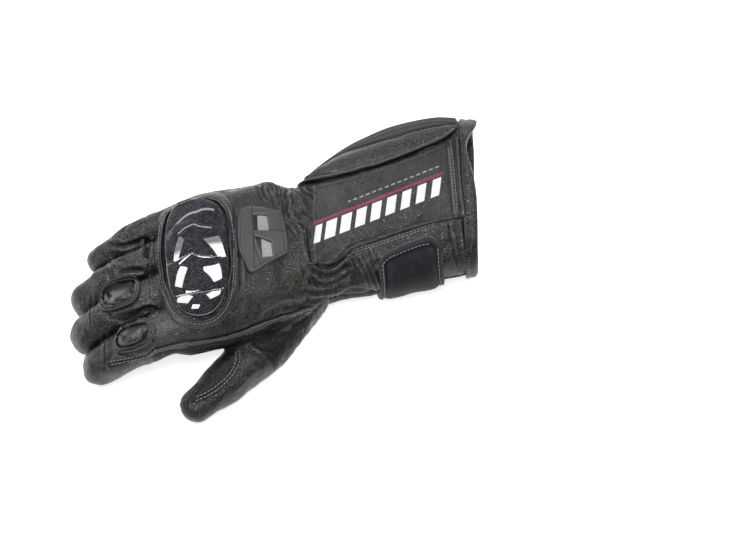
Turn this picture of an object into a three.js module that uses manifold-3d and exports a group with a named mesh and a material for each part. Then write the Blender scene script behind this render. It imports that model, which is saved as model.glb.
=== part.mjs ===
// A long-cuffed leather motorcycle glove for the right hand, lying on its palm.
// It is modelled as it is sewn: hollow leather panels, four finger stalls, a thumb, a gathered wrist,
// a flared cuff with a hem, and on top of the leather the moulded guards, welts, pads and closing flap.
// X runs from the fingertips towards the mouth of the cuff, Y from the thumb to the little finger, Z up.
import * as THREE from "three";
import { mergeVertices } from "three/addons/utils/BufferGeometryUtils.js";
import Module from "manifold-3d";

const wasm = await Module();
wasm.setup();

// Driving dimensions, in millimetres.
const LEATHER = 1.8; // wall of every panel
const GAP = 0.3; // between neighbouring pieces
const HAND_SIDES = { outer: 28, inner: 14 };
const STALL_SIDES = { outer: 14, inner: 8 };
const REACH = 130; // how far a cutting block reaches from the middle
const OVERLAY_LOW = 26; // the underside of the blocks that cut overlays out of the upper leather

// The hand and cuff are one tube. Each row is a section: its place, its four extremes, how far it
// slants in plan per mm of Y and leans per mm of Z, and how square its corners are.
const SECTIONS = [
  { x: -98, near: -50, far: 41, bottom: 30, top: 50, slant: 0.24, lean: 0, square: 2.2 },
  { x: -93, near: -57, far: 46, bottom: 22, top: 57, slant: 0.24, lean: 0, square: 2.3 },
  { x: -75, near: -60, far: 50, bottom: 14, top: 61, slant: 0.24, lean: 0, square: 2.4 },
  { x: -50, near: -58, far: 51, bottom: 7, top: 58, slant: 0.16, lean: 0, square: 2.4 },
  { x: -28, near: -53, far: 53.5, bottom: 1, top: 54, slant: 0.08, lean: 0, square: 2.4 },
  { x: -8, near: -43, far: 52.5, bottom: -1, top: 48, slant: 0, lean: 0, square: 2.4 },
  { x: 6, near: -39, far: 46, bottom: -1, top: 45, slant: 0, lean: 0, square: 2.4 },
  { x: 24, near: -40, far: 54, bottom: -1, top: 46, slant: 0.06, lean: -0.05, square: 2.3 },
  { x: 55, near: -44, far: 67, bottom: -1.5, top: 49, slant: 0.15, lean: -0.08, square: 2.2 },
  { x: 90, near: -45.5, far: 70, bottom: -1.5, top: 50, slant: 0.24, lean: -0.06, square: 2.2 },
  { x: 117, near: -45, far: 61, bottom: -1.5, top: 48, slant: 0.28, lean: 0, square: 2.2 },
];
const HAND_STATIONS = [-98, -96, -92, -83, -70, -56, -42, -28];
const WRIST_START = -12;
const WRIST_END = 5;
const WRIST_FOLDS = 3;
const FOLD_DEPTH = 1.4;
const CUFF_STATIONS = [14, 26, 40, 58, 78, 98];
const HEM_START = 108;
const HEM_THICKNESS = 1;
const MOUTH = 116.5;

// Height of the side seam, where the back panels meet the palm panels.
const SIDE_SEAM = [
  { x: -140, z: 40 },
  { x: -90, z: 40 },
  { x: -46, z: 31 },
  { x: 5, z: 22 },
  { x: 60, z: 20 },
  { x: 150, z: 18 },
];

// Finger stalls: the root is where the centre line starts inside the hand. Heading turns it in plan
// towards the thumb and pitch turns it down, both from first to last along the length. The section
// is wide and tall at the root, and narrower at the tip.
const STALL_SEAM = -106; // station of the seam between the hand and the stalls
const STALLS = {
  index_finger: {
    root: [-90, -44, 40], heading: [2, -6], pitch: [0, 52], length: 78, wide: [28, 25], tall: [28, 20],
  },
  middle_finger: {
    root: [-84, -15, 42], heading: [1, -4], pitch: [0, 52], length: 85, wide: [26, 24], tall: [28, 20],
  },
  ring_finger: {
    root: [-78, 11, 41], heading: [0, -3], pitch: [0, 52], length: 82, wide: [25, 23.5], tall: [27, 19],
  },
  little_finger: {
    root: [-72, 35.3, 38], heading: [0, 1], pitch: [0, 50], length: 71, wide: [22, 17], tall: [24, 17],
  },
};
const THUMB = {
  root: [-6, -26, 16], heading: [44, 15], pitch: [0, 6], length: 122, wide: [37, 17], tall: [31, 17],
};
const THUMB_SEAM = 58; // along the thumb's centre line
const STALL_STEPS = { outer: 6, inner: 4 };
const STALL_SQUARE = 2.3;
const DOME_SHARE = 0.5; // length of a rounded tip, as a share of its width
const DOME_STEPS = [0.4, 0.75, 0.95];

// The moulded knuckle guard: its outline in plan, and one lobe over each knuckle.
const GUARD_OUTLINE = [
  [-81, 33], [-67, 37], [-53, 29], [-52, 8], [-58, -20],
  [-66, -42], [-83, -50], [-96, -42], [-98, -16], [-90, 14],
];
const GUARD_BASE = 2.5;
const LOBE_PROUD = 6; // how far a lobe stands above the back of the hand
const LOBES = [
  { x: -66, y: 27, long: 17, wide: 13, high: 10 },
  { x: -73, y: 8, long: 21, wide: 15, high: 12 },
  { x: -79, y: -16, long: 22, wide: 16, high: 12 },
  { x: -83, y: -39, long: 17, wide: 13, high: 11 },
];
const WELT_WIDTH = 7.5;
const WELT_THICKNESS = 3;
const WELT_LOW = 44; // where the welt stops on the side of the hand

// The vent plate on the back of the hand.
const VENT_OUTLINE = [[-37, 24], [-18, 17], [-11, 13], [-16, -15], [-41, -24], [-45, -16], [-46, -2]];
const VENT_THICKNESS = 2.6;
const VENT_WINDOWS = {
  vent_mesh_far: [[-31, 14], [-22, 12], [-25, 1], [-33, 3]],
  vent_mesh_near: [[-34, -5], [-24, -7], [-27, -17], [-36, -16]],
};
const MESH_THICKNESS = 0.8;
const MESH_SHARE = 0.93; // of its window's size, so that it stays clear of the edges

// Moulded sliders over the finger joints, each in an oval welt: distance along the stall and half sizes.
const SLIDERS = {
  index: { stall: "index_finger", along: 36, long: 11, wide: 8, high: 5 },
  middle: { stall: "middle_finger", along: 41, long: 11, wide: 8, high: 5 },
};
const SLIDER_WELT = { ahead: 5, beside: 3 };
const SLIDER_WELT_THICKNESS = 2;

const THUMB_PAD = { along: 86, long: 21, wide: 9, thickness: 1.4, low: 12 };

// Plan outlines of the layers on the cuff.
const FLAP_OUTLINE = [[28, -24], [41, -29], [80, -27], [84, -32], [83, -75], [38, -75], [36, -42]];
const FLAP_THICKNESS = 2.4;
const FLAP_LOW = 4;
const PANEL_OUTLINE = [
  [6, -24.5], [20, -24.5], [24, -21], [42, -19], [66, -18], [118, -17],
  [128, 46], [94, 37.5], [76, 34.5], [54, 33.5], [35, 34.5], [8, 41],
];
const PANEL_THICKNESS = 1.2;
const BOLSTER_OUTLINE = [
  [8, 43], [35, 37], [54, 36], [76, 37], [94, 40], [128, 49], [128, 90], [8, 90],
];
const BOLSTER_LOW = 40;
const BOLSTER_THICKNESS = 2.4;
const FABRIC_LOW = 24;
const FABRIC_THICKNESS = 0.8;
const PIPING_HALF = 1.1;
const PIPING_THICKNESS = 1.2;

const DARK_LEATHER = { color: 0x17171a, roughness: 0.55, metalness: 0 };
const PALM_LEATHER = { color: 0x1d1c1c, roughness: 0.7, metalness: 0 };
const GLOSSY_SHELL = { color: 0x1b1820, roughness: 0.12, metalness: 0.1 };
const MOULDED = { color: 0x26262a, roughness: 0.5, metalness: 0 };
const SILVER_MESH = { color: 0xa8abb0, roughness: 0.35, metalness: 0.9 };
const SUEDE = { color: 0x1f1a22, roughness: 0.85, metalness: 0 };
const GREY_CLOTH = { color: 0x5a5b5e, roughness: 0.9, metalness: 0 };

const glove = new THREE.Group();

// A value of a table's column at x, on a smooth curve through the rows.
function smooth(rows, column, x) {
  const last = rows.length - 1;
  let i = 0;
  while (i < last - 1 && x > rows[i + 1].x) i += 1;
  const [a, b] = [rows[i], rows[i + 1]];
  const before = rows[Math.max(i - 1, 0)];
  const after = rows[Math.min(i + 2, last)];
  const span = b.x - a.x;
  const t = THREE.MathUtils.clamp((x - a.x) / span, 0, 1);
  const slopeA = ((b[column] - before[column]) / (b.x - before.x)) * span;
  const slopeB = ((after[column] - a[column]) / (after.x - a.x)) * span;
  const endShare = t * t * (3 - 2 * t);
  return (
    (1 - endShare) * a[column] +
    endShare * b[column] +
    (t ** 3 - 2 * t ** 2 + t) * slopeA +
    (t ** 3 - t ** 2) * slopeB
  );
}

// A hand section's column at a station.
const section = (column, x) => smooth(SECTIONS, column, x);

// Points of a rounded box's outline, as pairs from -1 to 1.
function roundedBox(sides, square) {
  const swell = (value) => Math.sign(value) * Math.abs(value) ** (2 / square);
  return Array.from({ length: sides }, (_, i) => {
    const angle = (2 * Math.PI * (i + 0.5)) / sides;
    return [swell(Math.cos(angle)), swell(Math.sin(angle))];
  });
}

// The geometry as a solid that can be cut and joined.
function solid(geometry) {
  const bare = new THREE.BufferGeometry();
  bare.setAttribute("position", geometry.attributes.position);
  bare.setIndex(geometry.index);
  const merged = mergeVertices(bare, 1e-3);
  const vertProperties = new Float32Array(merged.attributes.position.array);
  const triVerts = new Uint32Array(merged.index.array);
  return new wasm.Manifold(new wasm.Mesh({ numProp: 3, vertProperties, triVerts }));
}

// A closed solid through rings of points, each ring anticlockwise as seen from the next one.
function loft(rings) {
  const sides = rings[0].length;
  const points = rings.flat();
  const faces = [];
  for (let r = 0; r < rings.length - 1; r += 1) {
    for (let i = 0; i < sides; i += 1) {
      const [a, b] = [r * sides + i, r * sides + ((i + 1) % sides)];
      faces.push(a, b, a + sides, b, b + sides, a + sides);
    }
  }
  for (const end of [0, rings.length - 1]) {
    const centre = points.length;
    points.push(new THREE.Box3().setFromPoints(rings[end]).getCenter(new THREE.Vector3()));
    for (let i = 0; i < sides; i += 1) {
      const [a, b] = [end * sides + i, end * sides + ((i + 1) % sides)];
      faces.push(centre, ...(end ? [a, b] : [b, a]));
    }
  }
  const geometry = new THREE.BufferGeometry().setFromPoints(points);
  geometry.setIndex(faces);
  return solid(geometry);
}

// The hand's section at a station, swollen by grow, and on its upper side by a fold.
function handRing(x, grow, fold = 0) {
  const sides = grow < 0 ? HAND_SIDES.inner : HAND_SIDES.outer;
  const halfWide = (section("far", x) - section("near", x)) / 2 + grow;
  const halfTall = (section("top", x) - section("bottom", x)) / 2 + grow;
  const middleY = (section("far", x) + section("near", x)) / 2;
  const middleZ = (section("top", x) + section("bottom", x)) / 2;
  return roundedBox(sides, section("square", x)).map(([across, up]) => {
    const swell = 1 + (fold * Math.max(up + 0.4, 0)) / halfTall;
    const y = middleY + halfWide * across * swell;
    const z = middleZ + halfTall * up * swell;
    return new THREE.Vector3(x + section("slant", x) * y + section("lean", x) * z, y, z);
  });
}

// The whole tube. Only its outer face shows the folds of the wrist, and its hollow runs out of the mouth.
function handForm(grow) {
  const [first, ...hand] = HAND_STATIONS;
  const rings = [handRing(first, grow).map((p) => p.setX(p.x - grow))];
  rings.push(...hand.map((x) => handRing(x, grow)));
  const steps = WRIST_FOLDS * 2;
  for (let i = 0; i <= steps; i += 1) {
    const x = THREE.MathUtils.lerp(WRIST_START, WRIST_END, i / steps);
    rings.push(handRing(x, grow, i % 2 && grow >= 0 ? FOLD_DEPTH : 0));
  }
  rings.push(...CUFF_STATIONS.map((x) => handRing(x, grow)));
  const overrun = grow < 0 ? LEATHER : 0;
  rings.push(handRing(MOUTH, grow).map((p) => p.setX(p.x + overrun)));
  return loft(rings);
}

// Place and direction of a stall's centre line at a distance along it.
function along(stall, distance) {
  const steps = 24;
  const point = new THREE.Vector3(...stall.root);
  const forward = new THREE.Vector3();
  for (let i = 0; i <= steps; i += 1) {
    const share = (i * distance) / steps / stall.length;
    const turn = THREE.MathUtils.degToRad(THREE.MathUtils.lerp(...stall.heading, share));
    const dip = THREE.MathUtils.degToRad(THREE.MathUtils.lerp(...stall.pitch, share));
    forward.set(-Math.cos(dip) * Math.cos(turn), -Math.cos(dip) * Math.sin(turn), -Math.sin(dip));
    if (i < steps) point.addScaledVector(forward, distance / steps);
  }
  const side = new THREE.Vector3(0, 0, 1).cross(forward).normalize();
  return { point, forward, side, up: forward.clone().cross(side) };
}

// Half the width or height of a stall at a distance along it.
function half(stall, column, distance) {
  const taper = THREE.MathUtils.smoothstep(distance / stall.length, 0.25, 1.1);
  return THREE.MathUtils.lerp(...stall[column], taper) / 2;
}

// One ring of a stall, shrunk by round near the rounded tip.
function stallRing(stall, distance, grow, round) {
  const { point, side, up } = along(stall, distance);
  const sides = grow < 0 ? STALL_SIDES.inner : STALL_SIDES.outer;
  const wide = (half(stall, "wide", distance) + grow) * round;
  const tall = (half(stall, "tall", distance) + grow) * round;
  return roundedBox(sides, STALL_SQUARE).map(([across, rise]) =>
    point.clone().addScaledVector(side, across * wide).addScaledVector(up, rise * tall),
  );
}

function stallForm(stall, grow) {
  const dome = stall.wide[1] * DOME_SHARE + grow;
  const straight = stall.length + grow - dome;
  const steps = grow < 0 ? STALL_STEPS.inner : STALL_STEPS.outer;
  const rings = [];
  for (let i = 0; i <= steps; i += 1) {
    rings.push(stallRing(stall, (straight * i) / steps, grow, 1));
  }
  for (const share of DOME_STEPS) {
    rings.push(stallRing(stall, straight + dome * share, grow, Math.sqrt(1 - share ** 2)));
  }
  return loft(rings);
}

// The glove's whole outer form, swollen by grow, kept for each amount.
const forms = new Map();
function whole(grow) {
  if (!forms.has(grow)) {
    const parts = [...Object.values(STALLS), THUMB].map((stall) => stallForm(stall, grow));
    forms.set(grow, parts.reduce((sum, part) => sum.add(part), handForm(grow)));
  }
  return forms.get(grow);
}

// A flat outline drawn out between two heights.
function standing(points, low = OVERLAY_LOW, high = REACH) {
  const shape = new THREE.Shape(points.map(([x, y]) => new THREE.Vector2(x, y)));
  const drawn = new THREE.ExtrudeGeometry(shape, { depth: high - low, bevelEnabled: false });
  return solid(drawn.translate(0, 0, low));
}

// A band that follows the side seam, from low to high above it, across part of the width.
function besideSeam(low, high, near = -REACH, far = REACH) {
  const line = (offset) => SIDE_SEAM.map(({ x, z }) => new THREE.Vector2(x, z + offset));
  const shape = new THREE.Shape([...line(low), ...line(high).reverse()]);
  const drawn = new THREE.ExtrudeGeometry(shape, { depth: far - near, bevelEnabled: false });
  return solid(drawn.rotateX(Math.PI / 2).translate(0, far, 0));
}

// Everything between two stations of the hand, far out to every side.
function between(start, end) {
  const corners = [[-1, -1], [1, -1], [1, 1], [-1, 1]];
  const frames = [start, end].map((x) =>
    corners.map(([across, up]) => {
      const [y, z] = [across * REACH, up * REACH];
      return new THREE.Vector3(x + section("slant", x) * y + section("lean", x) * z, y, z);
    }),
  );
  return loft(frames);
}

// Everything further along a stall than a plane square to its centre line.
function beyond(stall, distance) {
  const { point, forward } = along(stall, distance);
  const block = new THREE.BoxGeometry(2 * REACH, 2 * REACH, 2 * REACH).translate(0, 0, REACH);
  block.applyQuaternion(new THREE.Quaternion().setFromUnitVectors(new THREE.Vector3(0, 0, 1), forward));
  return solid(block.translate(...point));
}

// A smooth closed outline through a few plan points, pushed outwards by spread.
function rounded(points, spread = 0) {
  const count = 2 * points.length;
  const curve = new THREE.CatmullRomCurve3(points.map(([x, y]) => new THREE.Vector3(x, y, 0)), true);
  return Array.from({ length: count }, (_, i) => {
    const point = curve.getPoint(i / count);
    const tangent = curve.getTangent(i / count);
    return [point.x - tangent.y * spread, point.y + tangent.x * spread];
  });
}

// An oval plan outline round a place on a stall, turned with it.
function oval({ point, forward }, long, wide) {
  const count = 16;
  const turn = Math.atan2(forward.y, forward.x);
  const [cos, sin] = [Math.cos(turn), Math.sin(turn)];
  return Array.from({ length: count }, (_, i) => {
    const angle = (2 * Math.PI * i) / count;
    const [a, b] = [long * Math.cos(angle), wide * Math.sin(angle)];
    return [point.x + a * cos - b * sin, point.y + a * sin + b * cos];
  });
}

// A layer that lies on the leather inside a block.
const layer = (thickness, block) => whole(GAP + thickness).subtract(whole(GAP)).intersect(block);

// Height of the back of the hand over a plan point.
function backHeight(x, y) {
  const station = x - section("slant", x) * y;
  const halfWide = (section("far", station) - section("near", station)) / 2;
  const across = Math.abs(y - section("far", station) + halfWide) / halfWide;
  const rise = (1 - across ** section("square", station)) ** (1 / section("square", station));
  const halfTall = (section("top", station) - section("bottom", station)) / 2;
  return section("bottom", station) + halfTall * (1 + rise);
}

// Cutting leaves crumbs along the seams, so a piece is the largest body of what was made.
function addPiece(name, made, finish) {
  const bodies = made.decompose().sort((a, b) => b.volume() - a.volume());
  const { vertProperties, triVerts } = bodies[0].getMesh();
  const geometry = new THREE.BufferGeometry();
  geometry.setAttribute("position", new THREE.BufferAttribute(vertProperties, 3));
  geometry.setIndex(new THREE.BufferAttribute(triVerts, 1));
  geometry.computeVertexNormals();
  const mesh = new THREE.Mesh(geometry, new THREE.MeshStandardMaterial(finish));
  mesh.name = name;
  glove.add(mesh);
}

// Everything below a height.
function below(top) {
  const block = new THREE.BoxGeometry(4 * REACH, 4 * REACH, REACH);
  return solid(block.translate(0, 0, top - REACH / 2));
}
const floor = below(0);
const lining = below(LEATHER);
const stalls = Object.entries(STALLS);
const handSide = between(STALL_SEAM + GAP / 2, MOUTH);
const stallSide = between(-2 * REACH, STALL_SEAM - GAP / 2);

// Hand and cuff: one shell with the roots of the stalls and thumb on it, cut along the seams.
function addHandAndCuff() {
  const thumbRoot = stallForm(THUMB, 0).subtract(beyond(THUMB, THUMB_SEAM - GAP / 2));
  const thumbPassage = stallForm(THUMB, -LEATHER).subtract(beyond(THUMB, THUMB_SEAM + LEATHER));
  let outer = handForm(0).add(thumbRoot);
  let hollow = handForm(-LEATHER).add(thumbPassage);
  for (const [, stall] of stalls) {
    outer = outer.add(stallForm(stall, 0));
    hollow = hollow.add(stallForm(stall, -LEATHER));
  }
  const cavity = hollow.subtract(lining);
  const shell = outer.subtract(floor).subtract(cavity);
  const back = besideSeam(GAP / 2, REACH);
  const palm = besideSeam(-REACH, -GAP / 2);
  const hand = shell.intersect(between(STALL_SEAM + GAP / 2, WRIST_START - GAP / 2));
  addPiece("hand_back", hand.intersect(back), DARK_LEATHER);
  addPiece("hand_palm", hand.intersect(palm), PALM_LEATHER);
  const wrist = between(WRIST_START + GAP / 2, WRIST_END - GAP / 2);
  addPiece("wrist_gather", shell.intersect(wrist), DARK_LEATHER);
  const cuff = shell.intersect(between(WRIST_END + GAP / 2, HEM_START - GAP / 2));
  addPiece("cuff_back", cuff.intersect(back), DARK_LEATHER);
  addPiece("cuff_palm", cuff.intersect(palm), PALM_LEATHER);
  const hem = handForm(HEM_THICKNESS).subtract(floor).subtract(cavity);
  addPiece("cuff_hem", hem.intersect(between(HEM_START + GAP / 2, MOUTH)), DARK_LEATHER);
}

function addStalls() {
  for (const [name, stall] of stalls) {
    const cavity = stallForm(stall, -LEATHER).subtract(lining);
    addPiece(name, stallForm(stall, 0).subtract(floor).subtract(cavity).intersect(stallSide), DARK_LEATHER);
  }
}

// The thumb is dented where it lies against the side of the hand, wall and all.
function addThumb() {
  const outer = stallForm(THUMB, 0).subtract(handForm(GAP)).subtract(floor);
  const cavity = stallForm(THUMB, -LEATHER).subtract(handForm(GAP + LEATHER)).subtract(lining);
  addPiece("thumb", outer.subtract(cavity).intersect(beyond(THUMB, THUMB_SEAM + GAP / 2)), DARK_LEATHER);
  const pad = oval(along(THUMB, THUMB_PAD.along), THUMB_PAD.long, THUMB_PAD.wide);
  addPiece("thumb_pad", layer(THUMB_PAD.thickness, standing(pad, THUMB_PAD.low)), MOULDED);
}

function addKnuckles() {
  const lobes = LOBES.map(({ x, y, long, wide, high }) => {
    const ball = new THREE.SphereGeometry(1, 14, 8).rotateX(Math.PI / 2).scale(long, wide, high);
    return solid(ball.translate(x, y, backHeight(x, y) + LOBE_PROUD - high));
  });
  const plate = layer(GUARD_BASE, standing(rounded(GUARD_OUTLINE)));
  const domed = lobes.reduce((sum, lobe) => sum.add(lobe), plate);
  const guard = domed.intersect(standing(rounded(GUARD_OUTLINE))).subtract(whole(GAP));
  addPiece("knuckle_guard", guard, GLOSSY_SHELL);
  const welt = standing(rounded(GUARD_OUTLINE, WELT_WIDTH), WELT_LOW);
  const seat = standing(rounded(GUARD_OUTLINE, 2 * GAP));
  addPiece("knuckle_frame", layer(WELT_THICKNESS, welt.subtract(seat)), DARK_LEATHER);
}

function addVents() {
  let plate = layer(VENT_THICKNESS, standing(VENT_OUTLINE));
  for (const [name, corners] of Object.entries(VENT_WINDOWS)) {
    const sum = corners.reduce(([a, b], [x, y]) => [a + x, b + y]);
    const middle = sum.map((value) => value / corners.length);
    const shrunk = corners.map((corner) =>
      corner.map((value, axis) => THREE.MathUtils.lerp(middle[axis], value, MESH_SHARE)),
    );
    plate = plate.subtract(standing(corners));
    addPiece(name, layer(MESH_THICKNESS, standing(shrunk)), SILVER_MESH);
  }
  addPiece("vent_plate", plate, MOULDED);
}

function addSliders() {
  for (const [name, slider] of Object.entries(SLIDERS)) {
    const stall = STALLS[slider.stall];
    const place = along(stall, slider.along);
    const ball = new THREE.SphereGeometry(1, 12, 6).rotateX(Math.PI / 2);
    ball.scale(slider.long, slider.wide, slider.high);
    ball.applyMatrix4(new THREE.Matrix4().makeBasis(place.forward, place.side, place.up));
    const top = place.point.clone().addScaledVector(place.up, half(stall, "tall", slider.along));
    addPiece(`${name}_slider`, solid(ball.translate(...top)).subtract(whole(GAP)), MOULDED);
    const ring = (ahead, beside) =>
      standing(oval({ point: top, forward: place.forward }, slider.long + ahead, slider.wide + beside));
    const outer = ring(SLIDER_WELT.ahead, SLIDER_WELT.beside);
    const inner = ring(2 * GAP, 2 * GAP);
    addPiece(`${name}_welt`, layer(SLIDER_WELT_THICKNESS, outer.subtract(inner)), DARK_LEATHER);
  }
}

function addCuffLayers() {
  const cuff = between(WRIST_END + GAP, HEM_START - 2 * GAP);
  addPiece("closure_flap", layer(FLAP_THICKNESS, standing(FLAP_OUTLINE, FLAP_LOW)), SUEDE);
  addPiece("cuff_top_panel", layer(PANEL_THICKNESS, standing(PANEL_OUTLINE)).intersect(cuff), DARK_LEATHER);
  const bolster = standing(BOLSTER_OUTLINE, BOLSTER_LOW);
  addPiece("side_bolster", layer(BOLSTER_THICKNESS, bolster).intersect(cuff), DARK_LEATHER);
  const fabric = standing(BOLSTER_OUTLINE, FABRIC_LOW, BOLSTER_LOW - GAP);
  addPiece("side_fabric", layer(FABRIC_THICKNESS, fabric).intersect(cuff), GREY_CLOTH);
}

function addPiping() {
  const strip = besideSeam(-PIPING_HALF, PIPING_HALF, -REACH, 0);
  const stretch = between(STALL_SEAM + GAP, WRIST_START - GAP);
  addPiece("side_piping", layer(PIPING_THICKNESS, strip).intersect(stretch), DARK_LEATHER);
}

addHandAndCuff();
addStalls();
addThumb();
addKnuckles();
addVents();
addSliders();
addCuffLayers();
addPiping();

// The origin is at the middle of the underside.
const extent = new THREE.Box3().setFromObject(glove);
glove.position.set(-(extent.min.x + extent.max.x) / 2, -(extent.min.y + extent.max.y) / 2, -extent.min.z);

export default glove;
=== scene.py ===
# %% [markdown]
# A leather motorcycle glove, built step by step.
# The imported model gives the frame: hollow leather panels, four finger stalls, a thumb, a gathered wrist,
# a flared cuff and the pieces on top. This file puts the real surface on it: soft leather with folds,
# seams and stitches, a woven and lacquered knuckle guard, moulded plates and silver mesh.
# First the tools are loaded, and the size of the model as it was packed is kept for comparison.

# %% Load the frame
import math

import bmesh
import bpy
import numpy as np
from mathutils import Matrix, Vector
from mathutils.bvhtree import BVHTree


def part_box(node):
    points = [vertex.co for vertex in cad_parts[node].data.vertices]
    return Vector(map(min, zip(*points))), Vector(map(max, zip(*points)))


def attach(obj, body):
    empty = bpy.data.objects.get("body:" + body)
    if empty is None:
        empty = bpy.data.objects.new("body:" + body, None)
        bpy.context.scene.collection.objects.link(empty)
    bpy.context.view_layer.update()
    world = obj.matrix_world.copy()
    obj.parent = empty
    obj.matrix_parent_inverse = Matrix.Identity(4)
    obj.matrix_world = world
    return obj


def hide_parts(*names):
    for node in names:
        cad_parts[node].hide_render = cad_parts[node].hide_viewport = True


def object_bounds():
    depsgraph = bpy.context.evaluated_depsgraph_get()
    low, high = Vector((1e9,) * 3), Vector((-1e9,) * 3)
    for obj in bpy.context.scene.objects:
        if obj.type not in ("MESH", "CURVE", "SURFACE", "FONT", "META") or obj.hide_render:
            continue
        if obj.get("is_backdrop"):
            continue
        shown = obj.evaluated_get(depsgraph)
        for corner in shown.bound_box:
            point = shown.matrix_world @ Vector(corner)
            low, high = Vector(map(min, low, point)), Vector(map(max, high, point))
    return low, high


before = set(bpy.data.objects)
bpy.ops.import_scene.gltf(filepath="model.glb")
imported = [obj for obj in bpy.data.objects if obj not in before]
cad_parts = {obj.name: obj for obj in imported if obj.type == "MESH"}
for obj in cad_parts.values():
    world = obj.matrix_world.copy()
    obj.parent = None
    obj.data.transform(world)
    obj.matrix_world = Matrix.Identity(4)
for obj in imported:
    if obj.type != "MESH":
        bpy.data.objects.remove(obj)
CAD_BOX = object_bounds()
MM = 0.001
print("nodes in the frame:", len(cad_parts))

# %% [markdown]
# A glove maker works from a pattern. Here the pattern is drawn in millimetres, with its zero on the table
# under the wrist: X towards the mouth of the cuff, Y towards the little finger, Z up. The vent plate's
# corner is at a known place in the pattern, so its place in the frame says how far the two are apart.

# %% Pattern and frame
VENT_CORNER = (-46.0, 24.0)
low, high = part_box("vent_plate")
SHIFT = np.array([low.x / MM - VENT_CORNER[0], high.y / MM - VENT_CORNER[1], 0.0])
print("pattern to frame, mm:", SHIFT.round(2))

# %% [markdown]
# Four small functions come back all through the file: directions of length one, a bell-shaped bump, a step
# from zero to one with soft ends, and the power that turns a circle into a rounded box.

# %% Small helpers
def unit(vectors):
    return vectors / np.linalg.norm(vectors, axis=-1, keepdims=True)


def bell(offset, width):
    return np.exp(-((offset / width) ** 2))


def smoothstep(low_end, high_end, value):
    t = np.clip((value - low_end) / (high_end - low_end), 0, 1)
    return t * t * (3 - 2 * t)


def signed_power(value, power):
    return np.sign(value) * np.abs(value) ** power


print("half way up the soft step:", smoothstep(0, 1, 0.5))

# %% [markdown]
# The photo was taken from far off, well above the table and a little from the fingers' side. A long lens
# from six metres gives the same flat view. With the directions of that view, any place on the picture can
# be dropped onto the glove, which is how the seams and folds find their places later on.

# %% Camera
VIEW_TURN = math.radians(-17)
VIEW_HEIGHT = math.radians(58)
MM_PER_PIXEL = 0.65
ZERO_PIXEL = np.array([305.0, 270.0])
IMAGE = np.array([729.0, 555.0])
CAMERA_DISTANCE = 6000.0
SENSOR = 36.0

RIGHT = np.array([math.cos(VIEW_TURN), math.sin(VIEW_TURN), 0.0])
BACK = np.array([
    math.sin(VIEW_TURN) * math.cos(VIEW_HEIGHT),
    -math.cos(VIEW_TURN) * math.cos(VIEW_HEIGHT),
    math.sin(VIEW_HEIGHT),
])
UP = np.cross(BACK, RIGHT)


def to_pixels(points):
    """Where pattern points lie on the picture."""
    points = np.asarray(points, float)
    across, rise = points @ RIGHT, points @ UP
    return np.stack([ZERO_PIXEL[0] + across / MM_PER_PIXEL, ZERO_PIXEL[1] - rise / MM_PER_PIXEL], -1)


def in_plane(pixel, depth=0.0):
    """The pattern point behind a pixel, at a depth towards the camera."""
    across = (pixel[0] - ZERO_PIXEL[0]) * MM_PER_PIXEL
    rise = (ZERO_PIXEL[1] - pixel[1]) * MM_PER_PIXEL
    return across * RIGHT + rise * UP + depth * BACK


def linked(name, data):
    """An object in the scene that shows some data."""
    made = bpy.data.objects.new(name, data)
    bpy.context.scene.collection.objects.link(made)
    return made


camera_data = bpy.data.cameras.new("camera")
camera_data.sensor_width = SENSOR
camera_data.lens = SENSOR * CAMERA_DISTANCE / (IMAGE[0] * MM_PER_PIXEL)
camera_data.clip_end = 20.0
camera = linked("camera", camera_data)
AIM_DEPTH = 30.0
camera.location = (in_plane(IMAGE / 2, AIM_DEPTH + CAMERA_DISTANCE) + SHIFT) * MM
camera.rotation_euler = Vector(BACK).to_track_quat("Z", "Y").to_euler()
bpy.context.scene.camera = camera
print("lens, mm:", round(camera_data.lens))

# %% [markdown]
# The floor is plain and pale. One soft light hangs above, a window stands at each side and a long strip
# behind, because the lacquered knuckle guard shows them as bright shapes. The world is dim, so that black
# leather stays black, and the floor gives off a little light of its own, as a lit studio table does.

# %% Floor and light
FLOOR_HALF = 4.0
floor_mesh = bpy.data.meshes.new("floor")
corners = [(-1, -1), (1, -1), (1, 1), (-1, 1)]
floor_mesh.from_pydata([(x * FLOOR_HALF, y * FLOOR_HALF, 0) for x, y in corners], [], [(0, 1, 2, 3)])
floor = linked("floor", floor_mesh)
FLOOR_GLOW, FLOOR_TONE, FLOOR_ROUGHNESS = 0.78, 0.93, 0.9
pale_floor = bpy.data.materials.new("pale_floor")
pale_floor.use_nodes = True
floor_inputs = pale_floor.node_tree.nodes["Principled BSDF"].inputs
floor_inputs["Base Color"].default_value = (FLOOR_TONE, FLOOR_TONE, FLOOR_TONE, 1)
floor_inputs["Roughness"].default_value = FLOOR_ROUGHNESS
floor_inputs["Emission Color"].default_value = (1, 1, 1, 1)
floor_inputs["Emission Strength"].default_value = FLOOR_GLOW
floor_mesh.materials.append(pale_floor)
floor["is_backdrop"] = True

LAMPS = [
    # name, place in metres, size in metres, watts
    ("overhead", (-0.3, -0.6, 1.7), (0.8, 0.6), 17),
    ("left_window", (-0.5, 0.46, 0.95), (0.62, 0.5), 8),
    ("right_window", (0.62, 0.22, 0.9), (0.5, 0.4), 5.5),
    ("back_strip", (0.12, 1.25, 0.9), (1.5, 0.12), 7),
]
for name, place, size, watts in LAMPS:
    data = bpy.data.lights.new(name, "AREA")
    data.shape = "RECTANGLE"
    data.size, data.size_y = size
    data.energy = watts
    lamp = linked(name, data)
    lamp.location = place
    lamp.rotation_euler = Vector(place).to_track_quat("Z", "Y").to_euler()

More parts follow.
